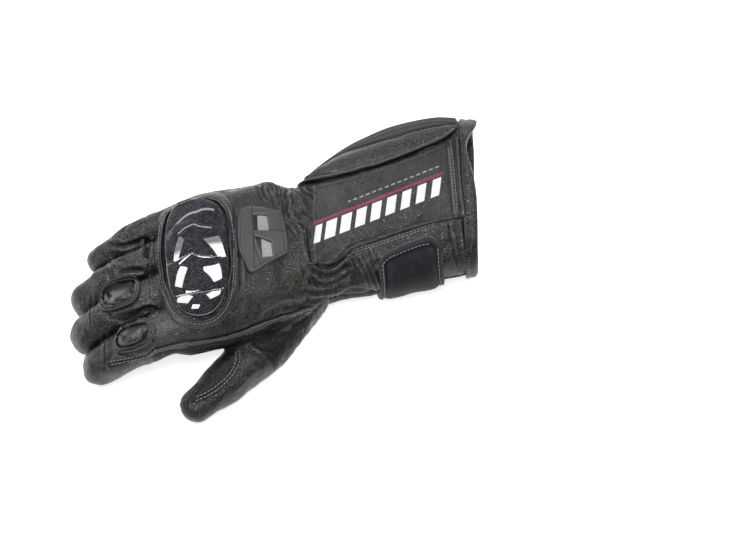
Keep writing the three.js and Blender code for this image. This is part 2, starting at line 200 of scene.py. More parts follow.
WORLD_LIGHT = 0.08
world = bpy.data.worlds.new("studio")
world.use_nodes = True
sky = world.node_tree.nodes["Background"].inputs
sky["Color"].default_value = (1, 1, 1, 1)
sky["Strength"].default_value = WORLD_LIGHT
bpy.context.scene.world = world
bpy.context.scene.view_settings.view_transform = "Standard"

# %% [markdown]
# The leather body starts from the same sections as the pattern: a tube for hand and cuff, and smaller
# tubes for the stalls and the thumb. They are drawn here with many more points.

# %% Sections of the hand and cuff
SECTION_COLUMNS = ("x", "near", "far", "bottom", "top", "slant", "lean", "square")
SECTIONS = np.array([
    (-98, -50, 41, 30, 50, 0.24, 0, 2.2),
    (-93, -57, 46, 22, 57, 0.24, 0, 2.3),
    (-75, -60, 50, 14, 61, 0.24, 0, 2.4),
    (-50, -58, 51, 7, 58, 0.16, 0, 2.4),
    (-28, -53, 53.5, 1, 54, 0.08, 0, 2.4),
    (-8, -43, 52.5, -1, 48, 0, 0, 2.4),
    (6, -39, 46, -1, 45, 0, 0, 2.4),
    (24, -40, 54, -1, 46, 0.06, -0.05, 2.3),
    (55, -44, 67, -1.5, 49, 0.15, -0.08, 2.2),
    (90, -45.5, 70, -1.5, 50, 0.24, -0.06, 2.2),
    (117, -45, 61, -1.5, 48, 0.28, 0, 2.2),
], float)
STALL_SEAM, WRIST_START, WRIST_END, HEM_START, MOUTH = -106, -12, 5, 108, 116.5
SIDE_SEAM_X = [-140, -90, -46, 5, 60, 150]
SIDE_SEAM_Z = [40, 40, 31, 22, 20, 18]


def section(column, x):
    """A column of the table of sections at x, on a smooth curve through its rows."""
    rows = SECTIONS[:, SECTION_COLUMNS.index(column)]
    places = SECTIONS[:, 0]
    i = int(np.clip(np.searchsorted(places, x) - 1, 0, len(places) - 2))
    before, after = max(i - 1, 0), min(i + 2, len(places) - 1)
    span = places[i + 1] - places[i]
    t = min(max((x - places[i]) / span, 0), 1)
    slope_a = (rows[i + 1] - rows[before]) / (places[i + 1] - places[before]) * span
    slope_b = (rows[after] - rows[i]) / (places[after] - places[i]) * span
    end_share = smoothstep(0, 1, t)
    return (
        (1 - end_share) * rows[i]
        + end_share * rows[i + 1]
        + (t**3 - 2 * t**2 + t) * slope_a
        + (t**3 - t**2) * slope_b
    )


STALL_LEAN = section("slant", STALL_SEAM)
STATIONS = np.arange(-110, 126, 1.0)
SECTION_TABLE = {c: np.array([section(c, x) for x in STATIONS]) for c in SECTION_COLUMNS[1:]}


def sections(column, places):
    """The same for many places at once."""
    return np.interp(places, STATIONS, SECTION_TABLE[column])


def rounded_box(sides, square):
    """A circle of so many points, swollen towards a square."""
    angle = 2 * np.pi * (np.arange(sides) + 0.5) / sides
    return signed_power(np.cos(angle), 2 / square), signed_power(np.sin(angle), 2 / square)


def box_at(station):
    """Middle, half size and squareness of the hand's section at stations."""
    near, far, bottom, top = (sections(c, station) for c in ("near", "far", "bottom", "top"))
    middle = (near + far) / 2, (bottom + top) / 2
    return *middle, (far - near) / 2, (top - bottom) / 2, sections("square", station)


def stations_of(points):
    """The station whose slanted section each point lies in."""
    station = points[..., 0].copy()
    for _ in range(4):
        slant, lean = sections("slant", station), sections("lean", station)
        station = points[..., 0] - slant * points[..., 1] - lean * points[..., 2]
    return station


def hand_ring(x, grow=0.0, sides=160):
    across, up = rounded_box(sides, section("square", x))
    near, far = section("near", x), section("far", x)
    bottom, top = section("bottom", x), section("top", x)
    y = (near + far) / 2 + ((far - near) / 2 + grow) * across
    z = (bottom + top) / 2 + ((top - bottom) / 2 + grow) * up
    return np.stack([x + section("slant", x) * y + section("lean", x) * z, y, z], -1)


print("width over the knuckles, mm:", section("far", -75) - section("near", -75))

# %% Finger stalls and thumb
STALLS = {
    "index_finger": dict(
        root=(-90, -43.2, 40.6), heading=(2, -6), pitch=(0, 51), length=79.5, wide=(28, 23.5), tall=(28, 19)
    ),
    "middle_finger": dict(
        root=(-84, -15, 42), heading=(2, -0.5), pitch=(0, 52), length=87, wide=(26, 26), tall=(28, 20)
    ),
    "ring_finger": dict(
        root=(-78, 11, 41), heading=(1.8, 1.5), pitch=(0, 52), length=84.4, wide=(25, 26), tall=(27, 19)
    ),
    "little_finger": dict(
        root=(-72, 35.3, 38), heading=(0, 1), pitch=(0, 50), length=71, wide=(22, 17), tall=(24, 17)
    ),
}
THUMB = dict(
    root=(-8.6, -25.3, 16), heading=(44, 20.5), pitch=(0, 6), length=120, wide=(37, 20), tall=(31, 17)
)
THUMB_SEAM = 58
STALL_SQUARE = 2.3
DOME_SHARE = 0.5
TAPER_START, TAPER_SHARE = 0.25, 0.85


def along(stall, distance, steps=48):
    """Place and directions of a stall's centre line at a distance along it."""
    point = np.array(stall["root"], float)
    for i in range(steps + 1):
        share = min(i * distance / steps / stall["length"], 1)
        turn, dip = (math.radians(np.interp(share, (0, 1), stall[way])) for way in ("heading", "pitch"))
        forward = np.array([-math.cos(dip) * math.cos(turn), -math.cos(dip) * math.sin(turn), -math.sin(dip)])
        if i < steps:
            point = point + forward * distance / steps
    side = np.cross((0, 0, 1), forward)
    side /= np.linalg.norm(side)
    return point, forward, side, np.cross(forward, side)


def stall_half(stall, column, distance):
    """Half the width or height of a stall at a distance along it."""
    t = np.clip((distance / stall["length"] - TAPER_START) / TAPER_SHARE, 0, 1)
    return np.interp(smoothstep(0, 1, t), (0, 1), stall[column]) / 2


def stall_rings(stall, start, grow=0.0, sides=72, step=0.9):
    """Rings of a stall from a distance along it to its rounded tip."""
    dome = stall["wide"][1] * DOME_SHARE + grow
    straight = stall["length"] + grow - dome
    places = [(d, 1.0) for d in np.arange(start, straight, step)]
    places += [(straight + dome * math.sin(a), math.cos(a)) for a in np.linspace(0, 1.52, 14)]
    rings = []
    for distance, shrink in places:
        point, _, side, up = along(stall, distance)
        across, rise = rounded_box(sides, STALL_SQUARE)
        wide = (stall_half(stall, "wide", distance) + grow) * shrink
        tall = (stall_half(stall, "tall", distance) + grow) * shrink
        rings.append(point + np.outer(across * wide, side) + np.outer(rise * tall, up))
    return rings


def loft(rings):
    """A closed mesh through rings of points: points and faces."""
    sides = len(rings[0])
    points = np.concatenate([*rings, [rings[0].mean(0)], [rings[-1].mean(0)]])
    faces = []
    for r in range(len(rings) - 1):
        for i in range(sides):
            j = (i + 1) % sides
            faces.append((r * sides + i, r * sides + j, (r + 1) * sides + j, (r + 1) * sides + i))
    last = (len(rings) - 1) * sides
    first_middle, last_middle = len(points) - 2, len(points) - 1
    for i in range(sides):
        j = (i + 1) % sides
        faces.append((first_middle, j, i))
        faces.append((last_middle, last + i, last + j))
    return points, faces


fingers = {name: loft(stall_rings(stall, 8)) for name, stall in STALLS.items()}
print({name: len(points) for name, (points, _) in fingers.items()})

# %% [markdown]
# Hand, wrist, cuff and thumb are sewn from panels, but the leather over them runs on as one surface. So the
# forms are first fused into one skin by a voxel remesh, which also rounds the valleys between them, and
# the skin is cut into its panels later. The fingers lie too close together for that, so they stay as they
# were drawn.

# %% Fuse the forms into one skin
VOXEL = 1.0
STUB_START, STUB_PAST_SEAM = 4, 5
TUBE_STEP = 1.5
SMOOTH_ROUNDS = 10


def new_object(name, points, faces):
    """An object in the frame's metres from pattern millimetres."""
    mesh = bpy.data.meshes.new(name)
    mesh.from_pydata(((np.asarray(points) + SHIFT) * MM).tolist(), [], [list(map(int, f)) for f in faces])
    return linked(name, mesh)


def table_of(items, name, columns, kind=np.float32):
    """A property of every vertex or edge of a mesh."""
    values = np.empty(len(items) * columns, kind)
    items.foreach_get(name, values)
    return values.reshape(-1, columns)


def read_mesh(mesh):
    """Points in pattern millimetres and faces of a mesh."""
    points = table_of(mesh.vertices, "co", 3).astype(float) / MM - SHIFT
    return points, [tuple(p.vertices) for p in mesh.polygons]


def join_forms(forms):
    points, faces, count = [], [], 0
    for form_points, form_faces in forms:
        points.append(form_points)
        faces += [tuple(count + i for i in face) for face in form_faces]
        count += len(form_points)
    return np.concatenate(points), faces


def remeshed(forms, voxel):
    """One skin around closed forms."""
    block = new_object("forms", *join_forms(forms))
    change = block.modifiers.new("fuse", "REMESH")
    change.mode = "VOXEL"
    change.voxel_size = voxel * MM
    fused = block.evaluated_get(bpy.context.evaluated_depsgraph_get()).to_mesh()
    result = read_mesh(fused)
    bpy.data.objects.remove(block)
    return result


def add_up(index, values, count):
    """For each of count points, the sum of the values whose index names it."""
    return np.stack([np.bincount(index, values[:, axis], count) for axis in range(3)], -1)


def smoothed(points, edges, rounds):
    """Each point moves half way to the middle of its neighbours, again and again."""
    start, end, count = edges[:, 0], edges[:, 1], len(points)
    neighbours = np.maximum(np.bincount(edges.ravel(), minlength=count), 1)[:, None]
    for _ in range(rounds):
        total = add_up(start, points[end], count) + add_up(end, points[start], count)
        points = (points + total / neighbours) / 2
    return points


def stub(stall):
    """The start of a stall, from inside the hand to a little past its seam."""
    end = STALL_SEAM - STUB_PAST_SEAM
    rings = stall_rings(stall, STUB_START)
    return loft([r for r in rings if (r[:, 0] - STALL_LEAN * r[:, 1]).max() > end])


TUBE_END = MOUTH + 4
tube = loft([hand_ring(x) for x in np.arange(SECTIONS[0, 0], TUBE_END, TUBE_STEP)])
forms = [tube, loft(stall_rings(THUMB, 0))] + [stub(stall) for stall in STALLS.values()]
skin, skin_faces = remeshed(forms, VOXEL)
skin_edges = np.array([(f[i], f[(i + 1) % len(f)]) for f in skin_faces for i in range(len(f))])
skin = smoothed(skin, skin_edges, SMOOTH_ROUNDS)
print("skin:", len(skin), "points,", len(skin_faces), "faces")

# %% [markdown]
# Leather that rests on a table goes flat where it touches, so everything under the table's height is
# pressed up to it.

# %% Press the skin onto the table
skin[:, 2] = np.maximum(skin[:, 2], 0)
surfaces = {"skin": (skin, skin_faces), **fingers}
for name, (points, _) in surfaces.items():
    points[:, 2] = np.maximum(points[:, 2], 0)
print("lowest point of each:", {name: round(points[:, 2].min(), 1) for name, (points, _) in surfaces.items()})

# %% [markdown]
# Folds, seams and welts are drawn as lines on the picture, in its pixels, and dropped onto the surface along
# the line of sight. A tree of all faces answers where each ray lands. The line then bends the surface
# near it: down for a groove, up for a ridge, and up on one side only for a panel that lies over another.

# %% Rays onto a surface
RAY_HEIGHT = 500.0
RAY = Vector((-BACK).tolist())


def tree_of(*forms):
    points, faces = join_forms(forms)
    return BVHTree.FromPolygons(points.tolist(), faces)


def drop(pixels, tree):
    """Where rays through pixels land, and the normals there. A miss gives nan."""
    places = np.full((len(pixels), 3), np.nan)
    normals = np.full((len(pixels), 3), np.nan)
    for i, pixel in enumerate(pixels):
        hit, normal, _, _ = tree.ray_cast(Vector(in_plane(pixel, RAY_HEIGHT).tolist()), RAY)
        if hit is not None:
            places[i] = hit
            normals[i] = np.array(normal) * np.sign(np.array(normal) @ BACK)
    return places, normals


def curve_through(points, step, closed=False):
    """A smooth line through points, with a point at every step of its length."""
    points = np.asarray(points, float)
    if closed:
        points = np.concatenate([points[-1:], points, points[:2]])
    else:
        points = np.concatenate([[2 * points[0] - points[1]], points, [2 * points[-1] - points[-2]]])
    dense = []
    for a, b, c, d in zip(points, points[1:], points[2:], points[3:]):
        t = np.linspace(0, 1, 12, endpoint=False)[:, None]
        square, cube = (2 * a - 5 * b + 4 * c - d) * t**2, (3 * b - a - 3 * c + d) * t**3
        dense.append(b + 0.5 * ((c - a) * t + square + cube))
    dense = np.concatenate([*dense, points[-2:-1]])
    length = np.concatenate([[0], np.cumsum(np.linalg.norm(np.diff(dense, axis=0), axis=1))])
    count = max(int(round(length[-1] / step)), 1) + 1
    places = np.linspace(0, length[-1], count)
    line = np.stack([np.interp(places, length, dense[:, k]) for k in range(dense.shape[1])], -1)
    return line[:-1] if closed else line


def along_surface(pixels, tree, step=0.6, closed=False):
    """A line of pixels as points and normals on a surface."""
    line = curve_through(pixels, step / MM_PER_PIXEL, closed)
    places, normals = drop(line, tree)
    found = ~np.isnan(places[:, 0])
    return places[found], normals[found]


bare = tree_of(*surfaces.values())
middle_hit, _ = drop([ZERO_PIXEL], bare)
print("the skin under the zero pixel:", middle_hit[0].round(1))

# %% [markdown]
# Each row names a line on the picture, how it changes the surface, by how much and how wide, in millimetres.
# The folds at the wrist and the pucker beside the flap are the strongest: there the glove bends.

# %% Lines on the picture
LINES = {
    # kind, height, width, line
    # the fingers
    "ring_top_fold": ("ridge", 1.3, 2.2, [(89, 277), (104, 270), (121, 263)]),
    "ring_fold": ("groove", 1.8, 1.5, [(107, 243), (127, 246), (148, 237.5)]),
    "ring_low_fold": ("groove", 1.5, 1.3, [(85, 277), (107, 264), (127, 258.5)]),
    "ring_slot": ("groove", 3.2, 1.6, [(147, 237), (148, 248), (146, 260)]),
    "ring_root": ("groove", 2.2, 1.3, [(118, 274), (128, 270.5), (146, 270)]),
    "slit_welt": ("ridge", 1.4, 1.0, [
        (107, 317.5), (124, 312), (143.5, 306), (155, 303), (161.5, 309),
        (156, 316), (143.5, 315), (132, 320), (114, 325),
    ]),
    "slit_end": ("groove", 3.2, 1.4, [(143, 309.5), (151, 308), (157, 310)]),
    "middle_seam": ("groove", 1.1, 0.9, [(92, 293.6), (91.6, 310), (91.6, 331.5)]),
    "index_seam": ("groove", 1.1, 0.9, [(107, 331.5), (105.7, 348), (107, 369)]),
    "index_double": ("step", 0.8, 0.9, [(111, 361), (132, 357), (149, 352.5), (156, 345.5)]),
    "index_side": ("groove", 0.7, 1.2, [(170, 356.6), (193, 352.6), (221.7, 349.7)]),
    # round the guard and the vent plate
    "frame_left": ("groove", 1.0, 1.4, [(158, 222), (159, 258.5), (163, 278), (169, 300), (176, 318)]),
    "plate_groove": ("groove", 1.6, 1.3, [(233, 203), (235, 230), (234, 262), (233.5, 300)]),
    "plate_groove_low": ("groove", 0.9, 1.0, [(238.4, 246), (241.4, 270), (241.4, 292)]),
    "plate_seam": ("groove", 0.5, 0.8, [(243, 272.8), (251, 272.8)]),
    "top_crease": ("groove", 1.4, 2.0, [(277.6, 192), (285, 202), (288, 216)]),
    "top_crease_far": ("groove", 0.9, 1.8, [(255, 186), (262, 196), (264, 204)]),
    # wrist
    "wrist_ridge": ("ridge", 0.9, 1.1, [(297.5, 218), (302, 236), (306.4, 262)]),
    "wrist_groove": ("groove", 1.5, 1.2, [(308, 226), (309.5, 240), (312.7, 264.3)]),
    "fan_a": ("groove", 1.5, 1.5, [(313, 262), (325, 268), (336, 264), (347, 254)]),
    "fan_b": ("groove", 1.8, 1.7, [(311, 268), (324, 275), (338, 273), (351, 262)]),
    "fan_c": ("groove", 1.7, 1.7, [(306, 277), (320, 284), (336, 282), (352, 272)]),
    "fan_d": ("groove", 1.5, 1.8, [(298, 289), (315, 292), (332, 290), (346, 283)]),
    "fan_e": ("groove", 1.1, 1.4, [(304, 300), (318, 300), (330, 297)]),
    "palm_fold": ("groove", 1.2, 2.0, [(262, 318), (276, 309), (290, 305), (304, 307)]),
    "heel_fold": ("groove", 1.2, 2.2, [(268, 330), (284, 324), (300, 322), (318, 312)]),
    # thumb
    "thumb_wrinkle_a": ("groove", 0.8, 1.2, [(246, 348.6), (256, 354), (265, 359)]),
    "thumb_wrinkle_b": ("groove", 0.8, 1.2, [(250, 343), (267.6, 350), (276, 352)]),
    "thumb_ridge": ("ridge", 0.7, 1.6, [(236.6, 391), (244, 383), (250, 375)]),
    "thumb_tip_seam": ("groove", 1.4, 1.0, [(199, 382), (190, 396), (186, 411)]),
    "thumb_tuck": ("ridge", 1.0, 1.1, [(187, 398), (182.5, 404), (180, 409)]),
    "thumb_fold_c": ("groove", 0.7, 1.4, [(226, 356), (232, 366), (228, 377)]),
    # cuff
    "pucker_a": ("ridge", 1.2, 1.4, [(369, 247), (373, 254), (376, 262)]),
    "cuff_lower_fold": ("groove", 0.9, 1.8, [(340, 296), (352, 290), (366, 290), (376, 294)]),
    "hem_row": ("groove", 1.1, 0.9, [(448, 221), (450, 232), (454, 250), (458.5, 272)]),
    "hem_ridge": ("ridge", 1.4, 1.1, [(459.5, 218), (461.5, 235), (464, 252), (466.5, 272)]),
    "strap_a": ("ridge", 2.0, 1.2, [(350.4, 252.5), (359, 268), (368.7, 286)]),
    "strap_b": ("ridge", 2.0, 1.2, [(358, 253), (366, 270), (376, 290)]),
    "strap_c": ("ridge", 1.9, 1.2, [(366, 258), (373, 272), (382, 290.4)]),
    "low_pucker": ("groove", 1.0, 1.6, [(344, 262), (352, 274), (358, 288)]),
}
print("lines:", len(LINES))

# %% [markdown]
# A groove is a bell pressed in between two low shoulders, a ridge is a bell, and a step falls off slowly on
# its high side. Each line fades out towards its ends, over this share of its length.

# %% Relief beside a line
FADE = 0.15


def profile(kind, side, width):
    """Height over a line at signed distances beside it, for a height of one."""
    if kind == "groove":
        return 0.35 * bell(np.abs(side) - 2 * width, width) - bell(side, width)
    if kind == "step":
        return bell(side, 4 * width) / (1 + np.exp(-4 * side / width)) - 0.3 * bell(side, width)
    return bell(side, width)


def lift_along(points, path, normals, kind, height, width):
    """How far each point rises beside a path."""
    lift = np.zeros(len(points))
    reach = (10 if kind == "step" else 4) * width
    near = np.all((points > path.min(0) - reach) & (points < path.max(0) + reach), 1)
    chosen = np.nonzero(near)[0]
    sides = np.cross(normals, unit(np.gradient(path, axis=0)))
    ends = np.linspace(0, 1, len(path))
    fade = smoothstep(0, FADE, np.minimum(ends, 1 - ends))
    for block in np.array_split(chosen, max(len(chosen) // 4000, 1)):
        gaps = points[block, None] - path[None]
        square = (gaps**2).sum(2)
        nearest = square.argmin(1)
        distance = np.sqrt(square[np.arange(len(block)), nearest])
        toward = (gaps[np.arange(len(block)), nearest] * sides[nearest]).sum(1)
        side = np.where(toward < 0, -distance, distance)
        lift[block] = height * fade[nearest] * profile(kind, side, width)
    return lift


paths = {name: along_surface(pixels, bare) for name, (*_, pixels) in LINES.items()}
print("lines on the glove:", {name: len(path) for name, (path, _) in paths.items()})

# %% [markdown]
# Worn leather is never quite smooth. Slow ripples run over all of it. They are sums of a few waves with fixed
# random directions, so the same glove comes out each time. Where the wrist is drawn in, the leather lies in
# gathers: sharp folds round the arm that waver, run together and die out. Wherever two panels meet, the
# leather also dips into the seam.

# %% Bend the surfaces
RANDOM_SEED = 7
RIPPLES = [
    # wavelength, height
    (34, 0.45),
    (17, 0.3),
    (8, 0.12),
]
WAVES_IN_A_RIPPLE = 7
GATHERS = [-20, -15.5, -12, -8, -4.5, -1, 2, 5.5, 9, 13.5]
GATHER_DEPTH, GATHER_WIDTH = 2.0, 1.2
GATHER_WAVERS = [(24, 2.6), (9, 0.7)]
SEAM_DEPTH, SEAM_WIDTH = 0.8, 1.1
STALL_SEAM_DEPTH = 0.3


def normals_of(points, faces):
    """Unit normals of the points, from the faces around them."""
    triangles = np.array([(f[0], f[i], f[i + 1]) for f in faces for i in range(1, len(f) - 1)])
    a, b, c = (points[triangles[:, k]] for k in range(3))
    normals = np.cross(b - a, c - a)
    total = sum(add_up(triangles[:, k], normals, len(points)) for k in range(3))
    return total / np.maximum(np.linalg.norm(total, axis=1), 1e-9)[:, None]


def ripple(points, wavelength, random):
    """Slow waves between about -1 and 1."""
    total = np.zeros(len(points))
    for _ in range(WAVES_IN_A_RIPPLE):
        way = random.normal(size=3)
        way /= np.linalg.norm(way)
        pace = wavelength * random.uniform(0.8, 1.25)
        total += np.sin(2 * np.pi * (points @ way) / pace + random.uniform(0, 2 * np.pi))
    return total / math.sqrt(WAVES_IN_A_RIPPLE)


def side_seam(x):
    """Height of the seam between back and palm."""
    return np.interp(x, SIDE_SEAM_X, SIDE_SEAM_Z)


def seam_dip(points):
    """How deep the leather dips at the side seam and at the stall seams."""
    from_side = points[:, 2] - side_seam(points[:, 0])
    from_stall = points[:, 0] - STALL_LEAN * points[:, 1] - STALL_SEAM
    on_stall = STALL_SEAM_DEPTH * bell(from_stall, SEAM_WIDTH)
    return -np.maximum(SEAM_DEPTH * bell(from_side, SEAM_WIDTH), on_stall)


def gathered(points, random):
    """Folds round the wrist, at stations that waver."""
    station = stations_of(points)
    for wavelength, height in GATHER_WAVERS:
        station = station + height * ripple(points, wavelength, random)
    lift = np.zeros(len(points))
    fan_side = 0.25 + 0.75 * smoothstep(-22, -6, points[:, 1])
    for place in GATHERS:
        depth = GATHER_DEPTH * fan_side * smoothstep(-0.7, 0.9, ripple(points, 30, random))
        gap = (station - place) / GATHER_WIDTH
        lift += depth * (0.45 * bell(np.abs(gap) - 1.5, 1) - np.exp(-np.abs(gap) ** 1.5))
    return lift


def bent(points, faces):
    """A surface with its seams, ripples, gathers and lines."""
    normals = normals_of(points, faces)
    random = np.random.default_rng(RANDOM_SEED)
    lift = seam_dip(points)
    for wavelength, height in RIPPLES:
        lift += height * ripple(points, wavelength, random)
    lift += gathered(points, random)
    for line, (kind, height, width, _) in LINES.items():
        path, path_normals = paths[line]
        lift += lift_along(points, path, path_normals, kind, height, width)
    lift *= np.clip(points[:, 2] / 3, 0, 1)
    return points + normals * lift[:, None]


surfaces = {name: (bent(points, faces), faces) for name, (points, faces) in surfaces.items()}
skin, skin_faces = surfaces["skin"]
print("bent:", {name: len(points) for name, (points, _) in surfaces.items()})

# %% [markdown]
# A pattern cutter separates the panels with a knife, and here planes do it. A cut goes through the faces,
# so each panel gets a clean edge, and then every face is given to the panel it lies in. The thumb is told
# apart from the hand beside it by which of the two forms a face lies on.

# %% Knives
class Skin:
    """A surface that planes can cut, in pattern millimetres."""

    def __init__(self, points, faces):
        mesh = bpy.data.meshes.new("skin")
        mesh.from_pydata(points.tolist(), [], faces)
        self.bm = bmesh.new()
        self.bm.from_mesh(mesh)
        bmesh.ops.recalc_face_normals(self.bm, faces=self.bm.faces)
        bpy.data.meshes.remove(mesh)

    def centres(self):
        return np.array([face.calc_center_median()[:] for face in self.bm.faces])

    def cut(self, place, normal, chosen=None):
        """Cut along a plane, through the chosen faces only."""
        faces = self.bm.faces[:]
        if chosen is not None:
            faces = [face for face, take in zip(faces, chosen) if take]
        verts = {v for f in faces for v in f.verts}
        edges = {e for f in faces for e in f.edges}
        bmesh.ops.bisect_plane(
            self.bm, geom=[*verts, *edges, *faces], dist=0.01, plane_co=Vector(place), plane_no=Vector(normal)
        )

    def part(self, labels, wanted):
        """Points and faces of one panel."""
        faces = [f for f, label in zip(self.bm.faces, labels) if label == wanted]
        index, points = {}, []
        for face in faces:
            for vert in face.verts:
                if vert.index not in index:
                    index[vert.index] = len(points)
                    points.append(vert.co[:])
        return np.array(points), [tuple(index[v.index] for v in f.verts) for f in faces]


def station_plane(x):
    """A place and the normal of the plane through a station."""
    return (x, 0, 0), (1, -section("slant", x), -section("lean", x))


def hand_ratio(points):
    """Below one inside the hand's form, above one outside it."""
    middle_y, middle_z, half_wide, half_tall, square = box_at(stations_of(points))
    across = np.abs(points[:, 1] - middle_y) / half_wide
    up = np.abs(points[:, 2] - middle_z) / half_tall
    return (across**square + up**square) ** (1 / square)


def thumb_ratio(points):
    """The same for the thumb's form past its seam."""
    best = np.full(len(points), 9.0)
    for distance in np.arange(THUMB_SEAM, THUMB["length"], 2):
        place, forward, side, up = along(THUMB, distance)
        gap = points - place
        close = np.abs(gap @ forward) < 3
        across = np.abs(gap @ side) / stall_half(THUMB, "wide", distance)
        rise = np.abs(gap @ up) / stall_half(THUMB, "tall", distance)
        ratio = (across**STALL_SQUARE + rise**STALL_SQUARE) ** (1 / STALL_SQUARE)
        best = np.where(close & (ratio < best), ratio, best)
    return best


# %% Cut the skin into panels
THUMB_REACH = 1.2
whole_skin = Skin(skin, skin_faces)
for station in (STALL_SEAM, WRIST_START, WRIST_END, HEM_START, MOUTH):
    whole_skin.cut(*station_plane(station))
thumb_place, thumb_forward, _, _ = along(THUMB, THUMB_SEAM)
centres = whole_skin.centres()
whole_skin.cut(thumb_place, thumb_forward, (thumb_ratio(centres) < THUMB_REACH) & (hand_ratio(centres) > 1))
seam_places = list(zip(SIDE_SEAM_X, SIDE_SEAM_Z))
for (x_a, z_a), (x_b, z_b) in zip(seam_places, seam_places[1:]):
    centres = whole_skin.centres()
    whole_skin.cut((x_a, 0, z_a), (z_a - z_b, 0, x_b - x_a), (centres[:, 0] > x_a) & (centres[:, 0] < x_b))

whole_skin.bm.verts.index_update()
centres = whole_skin.centres()
hand_part, thumb_part = hand_ratio(centres), thumb_ratio(centres)


def beyond(station):
    place, normal = station_plane(station)
    return (centres - np.array(place)) @ np.array(normal) > 0


past_thumb_seam = (centres - thumb_place) @ thumb_forward > 0
on_thumb = past_thumb_seam & (thumb_part < THUMB_REACH) & (thumb_part < hand_part)
above_seam = centres[:, 2] > side_seam(centres[:, 0])
tests = [
    (~beyond(STALL_SEAM), "cut_off"),
    (beyond(MOUTH), "cut_off"),
    (beyond(HEM_START), "hem"),
    (on_thumb, "thumb"),
    (~beyond(WRIST_START), "hand"),
    (~beyond(WRIST_END), "wrist_gather"),
]
labels = np.select([test for test, _ in tests], [label for _, label in tests], "cuff")
halves = np.isin(labels, ["hand", "cuff"])
labels = np.where(halves, np.char.add(labels, np.where(above_seam, "_back", "_palm")), labels)
panels = {}
for name in ["hand_back", "hand_palm", "wrist_gather", "cuff_back", "cuff_palm", "thumb"]:
    panels[name] = whole_skin.part(labels, name)
for name in STALLS:
    finger = Skin(*surfaces[name])
    finger.cut(*station_plane(STALL_SEAM))
    finger.bm.verts.index_update()
    centres = finger.centres()
    panels[name] = finger.part(np.where(beyond(STALL_SEAM), "hand", "finger"), "finger")
print({name: len(faces) for name, (_, faces) in panels.items()})

# %% [markdown]
# A panel is a sheet so far. Solidify gives it the leather's thickness, inwards, so that the outside stays
# where it is and the glove is hollow.

# %% Give the leather its thickness
LEATHER = 1.8


def thicken(name, points, faces, thickness):
    """A shell of that thickness under a surface, as an object."""
    piece = new_object(name, points, faces)
    change = piece.modifiers.new("thickness", "SOLIDIFY")
    change.thickness = thickness * MM
    change.offset = -1
    change.use_rim = True
    finished = bpy.data.meshes.new_from_object(piece.evaluated_get(bpy.context.evaluated_depsgraph_get()))
    piece.modifiers.clear()
    piece.data = finished
    return piece


pieces = {name: thicken(name + "_leather", *panel, LEATHER) for name, panel in panels.items()}
print("triangles:", sum(len(p.data.loop_triangles) or 2 * len(p.data.polygons) for p in pieces.values()))

# %% [markdown]
# The pieces on top are sheets too: each has an outline on the picture, follows the leather under it and
# stands a little above it. A grid is stretched between the four sides of an outline, every point of the
# grid is dropped onto the glove, and a height function says how far it rises. Ring-shaped pieces, such
# as the welts, are a grid between an inner and an outer outline.

# %% Sheets on the leather
dressed = tree_of(*surfaces.values())
SUNK = 0.5


def neighbours_mean(grid, rounds, around=False):
    """A grid of vectors, evened out. A ring closes on itself along its first direction."""
    for _ in range(rounds):
        before, after = (grid[-1:], grid[:1]) if around else (grid[:1], grid[-1:])
        rows = np.concatenate([before, grid, after])
        grid = (rows[:-2] + 2 * rows[1:-1] + rows[2:]) / 4
        columns = np.concatenate([grid[:, :1], grid, grid[:, -1:]], axis=1)
        grid = (columns[:, :-2] + 2 * columns[:, 1:-1] + columns[:, 2:]) / 4
    return grid


def fill_misses(grid):
    """Grid points whose ray missed take the nearest row's values."""
    for line in grid:
        missing = np.isnan(line[:, 0])
        if missing.any() and not missing.all():
            found = np.nonzero(~missing)[0]
            nearest = found[np.abs(np.nonzero(missing)[0][:, None] - found[None]).argmin(1)]
            line[missing] = line[nearest]
    return grid


def seat(pixels, lift, tree, even=6, around=False):
    """Points and normals on the surface, so that raised by lift they lie behind their pixels."""
    shape = pixels.shape
    aimed = pixels.reshape(-1, 2)
    heights = lift.reshape(-1)
    for _ in range(2):
        places, normals = drop(aimed, tree)
        normals = neighbours_mean(fill_misses(normals.reshape(*shape[:2], 3)), even, around).reshape(-1, 3)
        normals = unit(normals)
        moved = np.stack([normals @ RIGHT, -(normals @ UP)], -1) * heights[:, None] / MM_PER_PIXEL
        aimed = pixels.reshape(-1, 2) - moved
    places = neighbours_mean(fill_misses(places.reshape(*shape[:2], 3)), 2, around)
    return places, normals.reshape(*shape[:2], 3)


def sheet_faces(rows, columns, around=False):
    """Faces of a closed sheet whose top grid comes first and bottom grid second."""
    faces = []
    size = rows * columns
    turns = rows if around else rows - 1
    for i in range(turns):
        j = (i + 1) % rows
        for k in range(columns - 1):
            quad = (i * columns + k, j * columns + k, j * columns + k + 1, i * columns + k + 1)
            faces += [quad, tuple(size + q for q in reversed(quad))]
        for k, flip in ((0, False), (columns - 1, True)):
            wall = (i * columns + k, size + i * columns + k, size + j * columns + k, j * columns + k)
            faces.append(tuple(reversed(wall)) if flip else wall)
    if not around:
        for i, flip in ((0, True), (rows - 1, False)):
            for k in range(columns - 1):
                a = i * columns + k
                wall = (a, size + a, size + a + 1, a + 1)
                faces.append(tuple(reversed(wall)) if flip else wall)
    return faces


print("seats on the glove are ready, sunk by", SUNK, "mm")

# %% [markdown]
# A grid is stretched between four sides, or between two closed outlines. Its height falls off in a quarter
# round at the rim. Stiff pieces don't follow every fold, so a smooth polynomial takes the fold's place.

